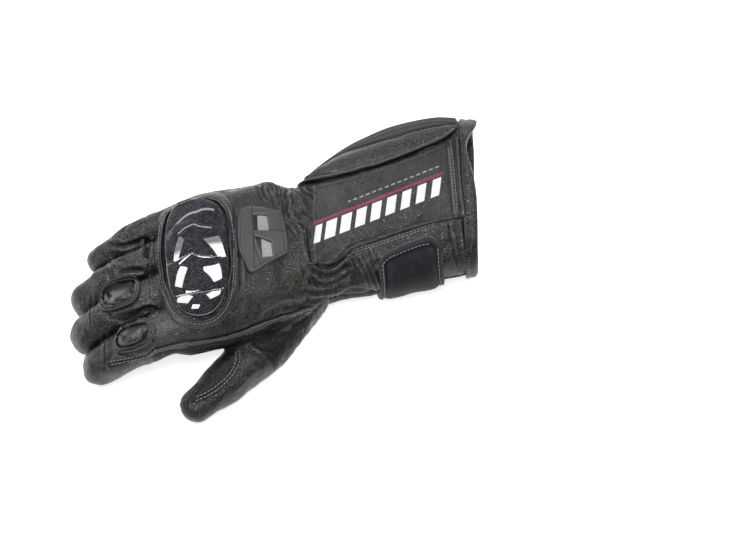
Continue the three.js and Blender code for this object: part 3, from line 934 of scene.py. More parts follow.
# %% Grids between outlines
def stretched(start, end, first, last, step):
    """A grid of pixels between four sides: start and end face each other, and so do first and last."""
    long_side = max(np.linalg.norm(np.diff(s, axis=0), axis=1).sum() for s in map(np.asarray, (start, end)))
    short_side = max(np.linalg.norm(np.diff(s, axis=0), axis=1).sum() for s in map(np.asarray, (first, last)))
    rows, columns = int(long_side / step) + 2, int(short_side / step) + 2

    def resampled(side, count):
        line = curve_through(side, 0.25)
        return line[np.linspace(0, len(line) - 1, count).round().astype(int)]

    a, b = resampled(start, rows), resampled(end, rows)
    c, d = resampled(first, columns), resampled(last, columns)
    s = np.linspace(0, 1, rows)[:, None, None]
    t = np.linspace(0, 1, columns)[None, :, None]
    corners = (1 - s) * (1 - t) * a[0] + (1 - s) * t * b[0] + s * (1 - t) * a[-1] + s * t * b[-1]
    return (1 - t) * a[:, None] + t * b[:, None] + (1 - s) * c[None] + s * d[None] - corners


def ring_grid(inner, outer, step, columns):
    """A grid between two closed outlines that start at facing places."""
    line = curve_through(outer, step, closed=True)
    facing = curve_through(inner, 0.2, closed=True)
    chosen = np.linspace(0, len(facing), len(line), endpoint=False).round().astype(int) % len(facing)
    t = np.linspace(0, 1, columns)[None, :, None]
    return (1 - t) * facing[chosen][:, None] + t * line[:, None]


def shares_across(grid):
    """From zero at a grid's first column to one at its last."""
    return np.linspace(0, 1, grid.shape[1])[None].repeat(len(grid), 0)


def distance_to(points, line):
    """How far each of many points is from the nearest point of a line."""
    blocks = np.array_split(points, len(points) // 2000 + 1)
    return np.concatenate([np.sqrt(((b[:, None] - line[None]) ** 2).sum(2)).min(1) for b in blocks])


def round_rim(grid_mm, thickness, rim):
    """Thickness over a four-sided grid, falling off in a quarter round at the edges."""
    rows, columns = grid_mm.shape[:2]
    edge = np.concatenate([grid_mm[0], grid_mm[-1], grid_mm[:, 0], grid_mm[:, -1]])
    distance = distance_to(grid_mm.reshape(-1, 2), edge)
    inward = np.clip(distance / rim, 0, 1)
    height = thickness * np.sqrt(1 - (1 - inward) ** 2)
    return height.reshape(rows, columns), distance.reshape(rows, columns)


def faired(pixels, values, degree):
    """Values over the picture, replaced by the polynomial of that degree nearest to them."""
    flat = pixels.reshape(-1, 2)
    scaled = (flat - flat.mean(0)) / flat.std(0)
    terms = [(i, j) for i in range(degree + 1) for j in range(degree + 1 - i)]
    table = np.stack([scaled[:, 0] ** i * scaled[:, 1] ** j for i, j in terms], -1)
    known = ~np.isnan(values.reshape(-1, 3)[:, 0])
    factors = np.linalg.lstsq(table[known], values.reshape(-1, 3)[known], rcond=None)[0]
    return (table @ factors).reshape(values.shape)


def closed_sheet(top, bottom, around=False):
    """Points and faces of a sheet between two grids, with nothing under the table."""
    points = np.concatenate([top.reshape(-1, 3), bottom.reshape(-1, 3)])
    points[:, 2] = np.maximum(points[:, 2], 0)
    return points, sheet_faces(*top.shape[:2], around)


def sheet(pixels, lift, tree, around=False, even=6, degree=None):
    """A closed sheet over the glove. A degree is for a stiff one."""
    places, normals = seat(pixels, lift, tree, even, around)
    if degree:
        places, normals = faired(pixels, places, degree), faired(pixels, normals, degree)
        normals = unit(normals)
    return closed_sheet(places + normals * lift[..., None], places - normals * SUNK, around)


def closed_object(name, points, faces):
    """An object whose faces all look outwards."""
    piece = new_object(name, points, faces)
    bm = bmesh.new()
    bm.from_mesh(piece.data)
    bmesh.ops.recalc_face_normals(bm, faces=bm.faces)
    bm.to_mesh(piece.data)
    bm.free()
    return piece


print("the dressed glove's tree is ready")

# %% [markdown]
# The knuckle guard is one moulded shell with four lobes that overlap like an armadillo's plates. Each lobe
# steps up at a crisp arc, bulges to its crest and rounds down to the next arc. So the height over the
# picture is worked out from how far a point lies between two arcs.

# %% Knuckle guard
GUARD_SIDES = dict(
    start=[(171, 209.5), (178, 201), (190, 197.5), (203, 198), (216, 203), (223.5, 212)],
    end=[(180, 309), (188, 314.5), (198, 317), (208, 316), (216, 312), (223, 304)],
    first=[(171, 209.5), (167, 221), (164.5, 236), (164, 254), (167, 276), (172, 294), (180, 309)],
    last=[(223.5, 212), (227.5, 224), (229.5, 240), (230.5, 256), (230, 276), (228, 292), (223, 304)],
)
LOBE_ARCS = [
    [(160, 222), (170, 211), (178.7, 203), (186, 200), (198, 199), (214.4, 204.4), (232, 222)],
    [
        (160, 241), (167, 236.5), (174.6, 226), (186, 220.7), (194, 218.7), (202, 222.8), (222.6, 227.7),
        (232, 231),
    ],
    [(160, 268), (174.6, 261.5), (183.8, 256.4), (193, 252.3), (202, 255), (225.6, 257), (232, 259)],
    [(160, 303), (168, 299), (180.7, 295), (194, 292), (207, 290), (224.6, 288), (232, 286)],
    [(160, 322), (178, 318), (198, 322), (216, 319), (232, 312)],
]
GUARD_STEP = 0.75
GUARD_BASE, GUARD_DOME = 2.0, 3.8
LOBE_HEIGHT, LOBE_CREST, LOBE_STEP, LOBE_LONG = 2.6, 0.35, 0.5, 35
GUARD_MIDDLE, GUARD_HALF_WIDTH = 197.5, 36.0


def lobe_height(pixels):
    """How far the shell bulges over the picture, by lobe and towards the middle."""
    u, v = pixels[..., 0], pixels[..., 1]
    arcs = [np.interp(u, *curve_through(arc, 0.5).T) for arc in LOBE_ARCS]
    height = np.full(u.shape, 0.3)
    for upper, lower in zip(arcs, arcs[1:]):
        share = (v - upper) / (lower - upper)
        before = 1 - LOBE_STEP * (1 - share / LOBE_CREST) ** 2
        after = 1 - ((share - LOBE_CREST) / (1 - LOBE_CREST)) ** 2
        shorter = np.minimum(1, ((lower - upper) / LOBE_LONG) ** 3)
        lobe = np.where(share < LOBE_CREST, before, after) * shorter
        height = np.where((share >= 0) & (share < 1), lobe, height)
    across = np.clip(np.abs(u - GUARD_MIDDLE) / GUARD_HALF_WIDTH, 0, 1)
    return (GUARD_DOME + LOBE_HEIGHT * height) * np.sqrt(1 - across**2)


guard_pixels = stretched(**GUARD_SIDES, step=GUARD_STEP)
rim, _ = round_rim(guard_pixels * MM_PER_PIXEL, 1.0, 1.6)
guard_lift = rim * (GUARD_BASE + lobe_height(guard_pixels))
overlays = {"knuckle_guard": sheet(guard_pixels, guard_lift, dressed, even=16, degree=4)}
print("guard:", guard_pixels.shape, "highest lift, mm:", round(guard_lift.max(), 1))

# %% [markdown]
# Round the guard runs a padded frame of leather: a bead against the shell, a sewn valley, and a slope down to
# the back of the hand. The two finger sliders sit in welts of the same kind, as two beads side by side.

# %% Frame and welts
FRAME_INNER = [
    (170.5, 212), (178.5, 206), (190.5, 201.3), (203.5, 199), (217, 202.5), (225, 212), (229.5, 226),
    (231.5, 245), (232, 265), (230.5, 284), (227, 299), (219, 312), (207, 318.5), (194, 318.5), (181, 311),
    (172, 298), (166, 278), (163, 256), (163, 236), (166, 220),
]
FRAME_OUTER = [
    (163, 212.5), (172, 207), (187, 200.8), (205, 193.2), (220, 192), (231.5, 204), (236.5, 224), (238, 245),
    (238.5, 267), (237.5, 288), (234, 304), (225.5, 319), (210, 328), (191, 328), (174.5, 319.5), (164, 302),
    (158, 280), (155.5, 256), (155.5, 236), (157.5, 219),
]
SLIDER_OUTLINES = {
    "index_slider": [
        (121.5, 333), (128, 327.5), (139, 324.3), (146.5, 323.5), (150, 326.5), (150.4, 333), (147, 339),
        (140, 342.5), (130, 346), (122.5, 345.5), (119.5, 340),
    ],
    "middle_slider": [
        (107, 290.5), (113.5, 285.5), (124, 282.3), (131, 281.5), (134, 284.5), (134.4, 291), (131, 297),
        (124.5, 300.5), (114.5, 304), (108, 303), (105, 298),
    ],
}
WELT_OUTLINES = {
    "index_welt": [
        (117, 333.5), (124.5, 323.5), (136.5, 318.5), (148.5, 317), (156, 321.5), (157, 333), (152.5, 342.5),
        (143, 348.5), (130, 352), (119.5, 352.5), (114.5, 344),
    ],
    "middle_welt": [
        (102.5, 290), (110, 281), (121.5, 276.5), (133, 275), (140.3, 279.5), (141.5, 291), (137, 301),
        (127.5, 306.5), (114.5, 310.5), (104.5, 311), (99.5, 303),
    ],
}
FRAME_HEIGHT, WELT_HEIGHT, WELT_STEP = 2.6, 1.7, 1.0


def frame_profile(share):
    """Bead, sewn valley and slope across the frame, from the shell outwards."""
    bead = np.sqrt(np.clip(1 - ((share - 0.16) / 0.17) ** 2, 0, 1))
    slope = 0.72 * np.sqrt(np.clip(1 - np.clip((share - 0.3) / 0.72, 0, 1) ** 2.5, 0, 1))
    return np.maximum(bead, np.where(share > 0.2, slope, 0)) - 0.22 * bell(share - 0.46, 0.06)


def welt_profile(share):
    """Two round beads side by side."""
    return np.sqrt(np.clip(np.abs(np.sin(2 * np.pi * np.clip(share, 0, 1))), 0, 1))


grid = ring_grid(FRAME_INNER, FRAME_OUTER, WELT_STEP, 19)
overlays["knuckle_frame"] = sheet(grid, FRAME_HEIGHT * frame_profile(shares_across(grid)), dressed, True)
for (name, outer), inner in zip(WELT_OUTLINES.items(), SLIDER_OUTLINES.values()):
    middle = np.mean(inner, axis=0)
    seat_line = [tuple(middle + (np.array(p) - middle) * 1.06) for p in inner]
    grid = ring_grid(seat_line, outer, 0.8, 17)
    overlays[name] = sheet(grid, WELT_HEIGHT * welt_profile(shares_across(grid)) + 0.25, dressed, True)
print({name: len(faces) for name, (_, faces) in overlays.items()})

# %% Sliders
SLIDER_STEP, SLIDER_HEIGHT = 0.6, 2.9
SLIDER_HOLES = {
    "index_slider": [(122.3, 333.5), (127.5, 336.5), (124.6, 342.4)],
    "middle_slider": [(107.6, 291.5), (112.8, 294.5), (109.8, 300.4)],
}
HOLE_DEPTH = 2.6


def inside(pixels, outline):
    """Signed distance in millimetres into a straight-sided outline, positive inside."""
    corners = np.array(outline, float)
    flat = pixels.reshape(-1, 2)
    distance = np.full(len(flat), 1e9)
    crossings = np.zeros(len(flat), int)
    for a, b in zip(corners, np.roll(corners, -1, axis=0)):
        share = np.clip(((flat - a) @ (b - a)) / ((b - a) @ (b - a)), 0, 1)
        distance = np.minimum(distance, np.linalg.norm(flat - a - share[:, None] * (b - a), axis=1))
        straddles = (a[1] > flat[:, 1]) != (b[1] > flat[:, 1])
        rise = b[1] - a[1] if b[1] != a[1] else 1e-9
        reach = a[0] + (flat[:, 1] - a[1]) * (b[0] - a[0]) / rise
        crossings += straddles & (flat[:, 0] < reach)
    signed = np.where(crossings % 2 == 1, distance, -distance) * MM_PER_PIXEL
    return signed.reshape(pixels.shape[:2])


def disc_grid(outline, step, rings):
    """A grid from an outline to its middle."""
    line = curve_through(outline, step, closed=True)
    middle = line.mean(0)
    t = np.linspace(1, 0.02, rings)[None, :, None]
    return middle + (line[:, None] - middle) * t


for name, outline in SLIDER_OUTLINES.items():
    grid = disc_grid(outline, SLIDER_STEP, 22)
    crown = np.sqrt(1 - (1 - smoothstep(0, 1, shares_across(grid) * 1.25)) ** 2)
    from_hole = -inside(grid, SLIDER_HOLES[name])
    hole = 1 - smoothstep(-0.3, 0.5, from_hole)
    ledge = 0.9 * smoothstep(1.0, 3.5, from_hole)
    lift = 0.3 + (SLIDER_HEIGHT - 0.6 + ledge) * crown - HOLE_DEPTH * hole
    overlays[name] = sheet(grid, np.maximum(lift, 0.2), dressed, True, even=10, degree=2)
print({name: len(overlays[name][1]) for name in SLIDER_OUTLINES})

# %% [markdown]
# The vent plate is one moulding with a raised bar, two fields and two windows. It is the same kind of sheet,
# with the windows pressed right down, and a piece of silver mesh lies in each: real wires, woven over and
# under each other.

# %% Vent plate
PLATE_SIDES = dict(
    start=[(240.8, 208.2), (252, 205.8), (266, 207.5), (282, 210.8)],
    end=[(240.8, 250.7), (246, 261), (253, 271.2), (270, 262.3), (286.5, 253.4), (289.3, 248.5)],
    first=[(240.8, 208.2), (239, 219), (238.5, 231.5), (240.8, 250.7)],
    last=[(282, 210.8), (285, 222), (288, 236), (289.3, 248.5)],
)
PLATE_STEP, PLATE_HEIGHT, PLATE_RIM = 0.5, 2.4, 1.1
WINDOWS = {
    "vent_mesh_far": [(252.5, 214.6), (268, 214.8), (268.6, 231.4), (254.3, 231.2)],
    "vent_mesh_near": [(254.5, 236), (271.5, 242), (273.2, 256.6), (262.5, 258)],
}
PLATE_GROOVES = [
    # line, depth, width
    ([(268.6, 230.6), (278, 230.6), (289, 231)], 0.7, 0.5),
    ([(252, 206), (253.4, 222), (254.4, 234), (255, 246), (262, 264)], 0.5, 0.6),
    (
        [
            (243.2, 212), (242, 231), (244, 249), (253.4, 267.6), (269, 259.6), (285, 251.6), (285.6, 246),
            (281, 214),
        ],
        0.35, 0.5,
    ),
]
MESH_OUTLINES = {
    "vent_mesh_far": [(257.4, 215.8), (267.6, 216), (268.2, 231), (258.4, 230.9)],
    "vent_mesh_near": [(261.4, 239), (271.4, 242.4), (273, 256.4), (263, 257.7)],
}
MESH_HEIGHT, WIRE_RADIUS, WIRE_PITCH = 0.7, 0.17, 0.62


def groove_depth(pixels, line, width):
    """A bell across a line on the picture, one on the line itself."""
    distance = distance_to(pixels.reshape(-1, 2), curve_through(line, 0.5))
    return bell(distance * MM_PER_PIXEL, width).reshape(pixels.shape[:2])


grid = stretched(**PLATE_SIDES, step=PLATE_STEP)
rim, _ = round_rim(grid * MM_PER_PIXEL, 1.0, PLATE_RIM)
lift = PLATE_HEIGHT * (0.35 + 0.65 * rim)
for line, depth, width in PLATE_GROOVES:
    lift -= depth * groove_depth(grid, line, width)
lift += 0.5 * (1 - smoothstep(251.5, 253, grid[..., 0] - 0.04 * (grid[..., 1] - 208)))
for outline in WINDOWS.values():
    lift = np.where(inside(grid, outline) > 0, 0.1, lift)
overlays["vent_plate"] = sheet(grid, lift, dressed, even=14, degree=3)


def tube(path, radius, sides, normals):
    """A closed tube along a path of points."""
    tangents = unit(np.gradient(path, axis=0))
    side = unit(np.cross(tangents, normals))
    up = np.cross(side, tangents)
    radius = np.broadcast_to(radius, len(path))
    angle = 2 * np.pi * np.arange(sides) / sides
    rings = [
        p + r * (np.outer(np.cos(angle), s) + np.outer(np.sin(angle), u))
        for p, r, s, u in zip(path, radius, side, up)
    ]
    return loft(rings)


def woven(outline, tree):
    """Wires over and under each other, across a four-cornered outline."""
    corners = np.array(outline)
    tubes = []
    sizes = [np.linalg.norm(corners[1] - corners[0]), np.linalg.norm(corners[3] - corners[0])]
    counts = [max(int(size * MM_PER_PIXEL / WIRE_PITCH), 2) for size in sizes]
    for direction in (0, 1):
        across, length = counts[direction], counts[1 - direction]
        for i in range(across + 1):
            t = np.linspace(0, 1, 4 * length + 1)
            s = np.full_like(t, i / across)
            a, b = (s, t) if direction == 0 else (t, s)
            pixels = (
                np.outer((1 - a) * (1 - b), corners[0]) + np.outer(a * (1 - b), corners[1])
                + np.outer(a * b, corners[2]) + np.outer((1 - a) * b, corners[3])
            )
            weave = np.cos(np.pi * (t * length + i + direction)) * WIRE_RADIUS
            places, normals = drop(pixels, tree)
            path = places + normals * (MESH_HEIGHT + weave)[:, None]
            tubes.append(tube(path, WIRE_RADIUS, 5, normals))
    return join_forms(tubes)


for name, outline in MESH_OUTLINES.items():
    overlays[name] = woven(outline, dressed)
print({name: len(overlays[name][1]) for name in ("vent_plate", *MESH_OUTLINES)})

# %% [markdown]
# A long pad lies on the thumb, sewn down all round with two rows of stitches, so it is highest along its
# middle and pulled in at the edge.

# %% Thumb pad
PAD_SIDES = dict(
    first=[(225, 351.5), (231, 349.5), (238, 347.8)],
    last=[(189.5, 399), (192, 401.5), (196.5, 401)],
    start=[(225, 351.5), (217, 363), (209, 373), (199, 385), (189.5, 399)],
    end=[(238, 347.8), (241, 355), (240, 365), (235, 375.5), (223, 387.5), (210, 396), (196.5, 401)],
)
PAD_STEP, PAD_HEIGHT, PAD_RIM = 0.8, 1.7, 2.2

grid = stretched(**PAD_SIDES, step=PAD_STEP)
rim, inward = round_rim(grid * MM_PER_PIXEL, 1.0, PAD_RIM)
lift = PAD_HEIGHT * rim - 0.35 * bell(inward - 1.7, 0.45) + 0.5 * smoothstep(1.5, 6, inward)
overlays["thumb_pad"] = sheet(grid, lift, dressed)
print("thumb pad:", grid.shape)

# %% [markdown]
# Pieces on the cuff reach round to where the camera can't see, so they are laid out on the cuff's own form:
# along it by station, and round it by angle. Lines from the picture are unwrapped to the same two numbers.

# %% Laying out on the cuff
ROUND = 30.0


def unwrapped(pixels, tree=dressed):
    """Station and angle, times ROUND to be millimetres too, of a line on the picture."""
    places, _ = drop(np.asarray(pixels, float), tree)
    places = places[~np.isnan(places[:, 0])]
    station = stations_of(places)
    middle_y, middle_z, half_wide, half_tall, square = box_at(station)
    across, up = (places[:, 1] - middle_y) / half_wide, (places[:, 2] - middle_z) / half_tall
    angle = np.arctan2(signed_power(up, square / 2), signed_power(across, square / 2)) % (2 * np.pi)
    return np.stack([station, angle * ROUND], -1)


def angle_at_height(station, height, far_side=True):
    """The angle, times ROUND, where the cuff's side has a height."""
    _, middle_z, _, half_tall, square = box_at(station)
    rise = np.arcsin(np.clip(signed_power((height - middle_z) / half_tall, square / 2), -1, 1))
    return (rise if far_side else np.pi - rise) * ROUND


def wrapped(laid, grow):
    """Places on the cuff's form at stations and angles, swollen by grow."""
    station, angle = laid[..., 0], laid[..., 1] / ROUND
    middle_y, middle_z, half_wide, half_tall, square = box_at(station)
    y = middle_y + (half_wide + grow) * signed_power(np.cos(angle), 2 / square)
    z = middle_z + (half_tall + grow) * signed_power(np.sin(angle), 2 / square)
    return np.stack([station + sections("slant", station) * y + sections("lean", station) * z, y, z], -1)


def grid_normals(places, outward):
    """Normals of a grid of places, turned to the side that outward points to."""
    normals = np.cross(np.gradient(places, axis=0), np.gradient(places, axis=1))
    normals /= np.maximum(np.linalg.norm(normals, axis=2), 1e-9)[..., None]
    return normals * np.sign((normals * outward).sum(2))[..., None]


def cuff_sheet(laid, lift, grow=0.4):
    """A closed sheet laid out on the cuff."""
    places = wrapped(laid, grow)
    normals = grid_normals(places, wrapped(laid, grow + 5) - places)
    return closed_sheet(places + normals * lift[..., None], places - normals * SUNK)


# %% Lines on the cuff
PIPING_LINE = [
    (304, 183.3), (312, 181.5), (340, 175.4), (368.7, 167.5), (400, 157), (426, 146.6), (441.9, 139.5),
    (456, 130),
]
PANEL_SIDES = dict(
    start=[(312.5, 184.5), (340, 178.4), (369, 170.5), (401, 160), (427, 149.6), (443, 142.5), (460, 135.5)],
    end=[
        (314.5, 264.5), (332, 264.5), (344, 258.5), (352, 250.5), (376.5, 241.5), (410.5, 230), (439, 222),
        (468, 217),
    ],
    first=[(312.5, 184.5), (312, 205), (312.8, 230), (314.5, 264.5)],
    last=[(460, 135.5), (462.5, 165), (464.8, 190), (468, 217)],
)
FLAP_TOP = [(377.5, 256.5), (390, 249.5), (402.6, 243.5), (416, 239), (428.8, 235.8), (439, 238.5)]
CLOTH_SEAM = [
    (316, 172), (322, 166.5), (335, 161.5), (363, 150), (397, 140), (418, 132.5), (440, 127.5), (452, 126),
]
BOLSTER_START, BOLSTER_END = 8, 107
CLOTH_LOW = 24

# %% [markdown]
# The big panel on top of the cuff is a flat sheet of leather. It has a dent beside the wrist, a row of
# stitches along its lower edge, and at the mouth two rows and a rolled ridge where it turns into the hem.

# %% Top panel
PANEL_STEP, PANEL_HEIGHT, PANEL_RIM = 1.1, 1.2, 0.9
PANEL_RIPPLE, PANEL_SEED, PANEL_LONG = 0.16, 3, 155
PANEL_RIDGES = [(1.4, 2.3, 1.1), (-0.7, 4.9, 0.6), (0.8, 6.6, 0.9), (-0.6, 9.2, 0.6)]
DENT = dict(middle=327, spread=5.5, top=(180, 192), bottom=(208, 222), depth=1.0)


def flat_ripple(grid, wavelength, seed):
    """Slow waves over a two-column grid."""
    flat = np.concatenate([grid, np.zeros_like(grid[..., :1])], -1).reshape(-1, 3)
    return ripple(flat, wavelength, np.random.default_rng(seed)).reshape(grid.shape[:2])


grid = stretched(**PANEL_SIDES, step=PANEL_STEP)
rim, inward = round_rim(grid * MM_PER_PIXEL, 1.0, PANEL_RIM)
u, v = grid[..., 0], grid[..., 1]
dent = bell(u - DENT["middle"], DENT["spread"])
dent = dent * smoothstep(*DENT["top"], v) * (1 - smoothstep(*DENT["bottom"], v))
mouth_mm = (1 - np.linspace(0, 1, grid.shape[0])[:, None]) * PANEL_LONG * MM_PER_PIXEL
lift = PANEL_HEIGHT * (0.4 + 0.6 * rim) - 0.35 * bell(inward - 2.6, 0.6) * (mouth_mm > 8)
lift += PANEL_RIPPLE * flat_ripple(grid, 26, PANEL_SEED) * smoothstep(2, 12, inward) - DENT["depth"] * dent
for height, from_mouth, width in PANEL_RIDGES:
    lift += height * bell(mouth_mm - from_mouth, width)
overlays["cuff_top_panel"] = sheet(grid, np.maximum(lift, 0.15), dressed, even=3)
print("panel:", grid.shape)

# %% [markdown]
# Along the far side runs a padded bolster, and below it a band of grey stretch cloth with fine pleats, which
# goes round to where the palm begins. The closing flap lies over the near side of the cuff: a thick tongue
# with a sewn border and a padded field, and its end hides under the wrist.

# %% Bolster, cloth and flap
CUFF_STEP = 1.0
BOLSTER_HEIGHT, BOLSTER_CROWN = 2.2, 1.5
CLOTH_HEIGHT, PLEAT, PLEAT_WAVE = 2.5, 0.3, 2.1
FLAP_LOW_Z, FLAP_HEIGHT, FLAP_FIELD, FLAP_CORNER = 1.0, 2.6, 0.9, 7.0
FLAP_LEAN, FLAP_FOOT, FLAP_KICK = 7.0, 1.0, 5.0


def laid_between(stations, low_angle, high_angle, step):
    """A grid of stations and angles between two lines round the cuff."""
    along_count = int((stations[-1] - stations[0]) / step) + 2
    across_count = int(np.abs(high_angle - low_angle).max() / step) + 2
    fine = np.linspace(stations[0], stations[-1], along_count)
    a, b = np.interp(fine, stations, low_angle), np.interp(fine, stations, high_angle)
    t = np.linspace(0, 1, across_count)[None]
    return np.stack([fine[:, None].repeat(across_count, 1), (1 - t) * a[:, None] + t * b[:, None]], -1)


piping_laid = unwrapped(PIPING_LINE)
stations = np.linspace(BOLSTER_START, BOLSTER_END, 60)
near_edge = np.interp(stations, piping_laid[:, 0], piping_laid[:, 1])
seam_laid = unwrapped(CLOTH_SEAM)
seam_edge = np.interp(stations, seam_laid[:, 0], seam_laid[:, 1])
bolster_laid = laid_between(stations, seam_edge, near_edge, CUFF_STEP)
rim, inward = round_rim(bolster_laid, 1.0, 1.6)
share = np.linspace(0, 1, bolster_laid.shape[1])[None]
puff = BOLSTER_HEIGHT * rim + BOLSTER_CROWN * np.sin(np.pi * share) * rim
creased = smoothstep(70, 95, bolster_laid[..., 0])
puff += (0.25 + 0.5 * creased) * flat_ripple(bolster_laid * (0.6, 1), 15, 5) * smoothstep(0.5, 5, inward)
puff *= 1 - 0.7 * smoothstep(66, 100, bolster_laid[..., 0])
overlays["side_bolster"] = cuff_sheet(bolster_laid, puff)

cloth_laid = laid_between(stations, angle_at_height(stations, CLOTH_LOW), seam_edge - 0.3, CUFF_STEP)
rim, inward = round_rim(cloth_laid, 1.0, 1.2)
pleats = PLEAT * np.sin(cloth_laid[..., 1] / PLEAT_WAVE * np.pi)
sag = 0.5 * flat_ripple(cloth_laid, 24, 9)
ends = smoothstep(8, 30, cloth_laid[..., 0]) * (1 - smoothstep(50, 92, cloth_laid[..., 0]))
lift = (0.9 + (CLOTH_HEIGHT - 0.9) * ends) * rim + (pleats + sag * ends) * smoothstep(0, 2, inward)
overlays["side_fabric"] = cuff_sheet(cloth_laid, np.maximum(lift, 0.1))

flap_top = unwrapped(FLAP_TOP)
stations = np.linspace(flap_top[0, 0], flap_top[-1, 0] + 1.5, 50)
from_end = np.minimum(stations - stations[0], stations[-1] - stations)
corner = FLAP_CORNER * (1 - np.sqrt(1 - (1 - np.clip(from_end / FLAP_CORNER, 0, 1)) ** 2))
top_edge = np.interp(stations, flap_top[:, 0], flap_top[:, 1]) + corner
flap_laid = laid_between(stations, top_edge, angle_at_height(stations, FLAP_LOW_Z, False), CUFF_STEP)
down = np.linspace(0, 1, flap_laid.shape[1])[None]
from_right = 1 - np.linspace(0, 1, len(flap_laid))[:, None]
flap_laid[..., 0] -= FLAP_LEAN * down * from_right
rim, inward = round_rim(flap_laid, 1.0, 1.6)
flap_lift = FLAP_HEIGHT * rim + FLAP_FIELD * smoothstep(4.2, 9, inward) - 0.6 * bell(inward - 4.2, 0.7)
flap_lift += FLAP_FOOT * smoothstep(0.6, 1.0, down) * from_right
flap_lift += 0.25 * flat_ripple(flap_laid, 12, 21) * smoothstep(3, 8, inward)
flap_points, flap_faces = cuff_sheet(flap_laid, flap_lift)
low = (1 - smoothstep(1, 14, flap_points[:, 2])) * (1 - smoothstep(40, 75, flap_points[:, 0]))
flap_points[:, 1] -= FLAP_KICK * low
print("flap's low edge reaches, mm:", flap_points[flap_points[:, 2] < 3].min(0).round(1))
overlays["closure_flap"] = (flap_points, flap_faces)
print({name: len(overlays[name][1]) for name in ("side_bolster", "side_fabric", "closure_flap")})

# %% [markdown]
# The hem is the cuff's leather folded round the mouth: a thick band outside, a round lip and a turn inside.
# Its cross-section is a short closed line, and it is carried round the mouth. At the far upper corner the lip
# is set back, so that a little of the dark inside shows there, and low on the near side the hem stands out.

# %% Hem
HEM_PROFILE = [
    # past the hem's start, swell
    (0, 0.2), (0.5, 1.1), (2, 1.3), (3.6, 1.1), (5, 1.4), (6.6, 1.5), (8, 1.1), (8.8, 0.2),
    (8.6, -1), (7.6, -1.9), (5.5, -2.2), (3, -2.2), (0.6, -2.1), (0, -1),
]
HEM_SIDES, HEM_STEP = 420, 0.45
LIP_BACK = dict(angle=37, spread=11, depth=5.2)
LIP_OUT = dict(angle=17, spread=8, depth=1.8)
HEM_FOOT = dict(angle=110, spread=15, depth=2.0)
angles = 2 * np.pi * np.arange(HEM_SIDES) / HEM_SIDES * ROUND


def swelling(angle, spread, depth):
    """A soft bump round the mouth."""
    return depth * bell(angles - angle, spread)


set_back = swelling(**LIP_BACK) - swelling(**LIP_OUT)
circle = 50 * np.stack([np.cos(angles / ROUND), np.sin(angles / ROUND)], -1)
waver = 0.5 * flat_ripple(circle[None], 40, 11)[0]
hem_rows = []
for past_start, grow in curve_through(HEM_PROFILE, HEM_STEP, closed=True):
    share = past_start / (MOUTH - HEM_START)
    laid = np.stack([HEM_START + past_start + share * (waver - set_back), angles], -1)
    hem_rows.append(wrapped(laid, grow + swelling(**HEM_FOOT)))
hem_grid = np.array(hem_rows)
hem_grid[..., 2] = np.maximum(hem_grid[..., 2], 0)


def closed_grid_faces(rows, columns):
    """Faces of a grid that closes on itself both ways, like a ring."""
    at = lambda i, k: (i % rows) * columns + k % columns
    cells = [(i, k) for i in range(rows) for k in range(columns)]
    return [(at(i, k), at(i, k + 1), at(i + 1, k + 1), at(i + 1, k)) for i, k in cells]


overlays["cuff_hem"] = (hem_grid.reshape(-1, 3), closed_grid_faces(*hem_grid.shape[:2]))
print("hem:", hem_grid.shape)

# %% [markdown]
# Piping is a cord sewn into a seam, so it stands up as a thin tube. One runs between the top panel and the
# bolster, and one along the side of the index finger and over the root of the thumb.

# %% Piping
SIDE_PIPING = [
    (148, 354.5), (160, 349), (175, 345), (190, 342.5), (207, 340.5), (222, 337.5), (233, 334.5),
    (243.5, 331), (257, 325.6), (268.7, 320.8), (284.8, 315.8), (300, 311.5), (312, 308),
]
PIPING_RADIUS = 1.15


def piping(line, radius, sunk=0.2):
    """A cord along a line on the picture, thinner at its ends."""
    places, normals = along_surface(line, dressed, 0.9)
    places = neighbours_mean(places[:, None], 3)[:, 0] if len(places) > 4 else places
    ends = np.linspace(0, 1, len(places))
    taper = np.sqrt(np.clip(np.minimum(ends, 1 - ends) / 0.02, 0.15, 1))
    return tube(places + normals * (radius - sunk), radius * taper, 10, normals)


overlays["side_piping"] = piping(SIDE_PIPING, PIPING_RADIUS)
extras = {"bolster_piping": piping(PIPING_LINE, 1.3, -0.7)}
print("piping points:", len(overlays["side_piping"][0]), len(extras["bolster_piping"][0]))

# %% [markdown]
# Every seam on a glove like this is sewn with thick thread, and the rows of stitches catch the light. Each
# stitch is a short thread that comes out of one hole and dives into the next, so it is modelled as a small
# bowed tube. The rows are lines on the picture again, dropped onto everything that has been made so far.

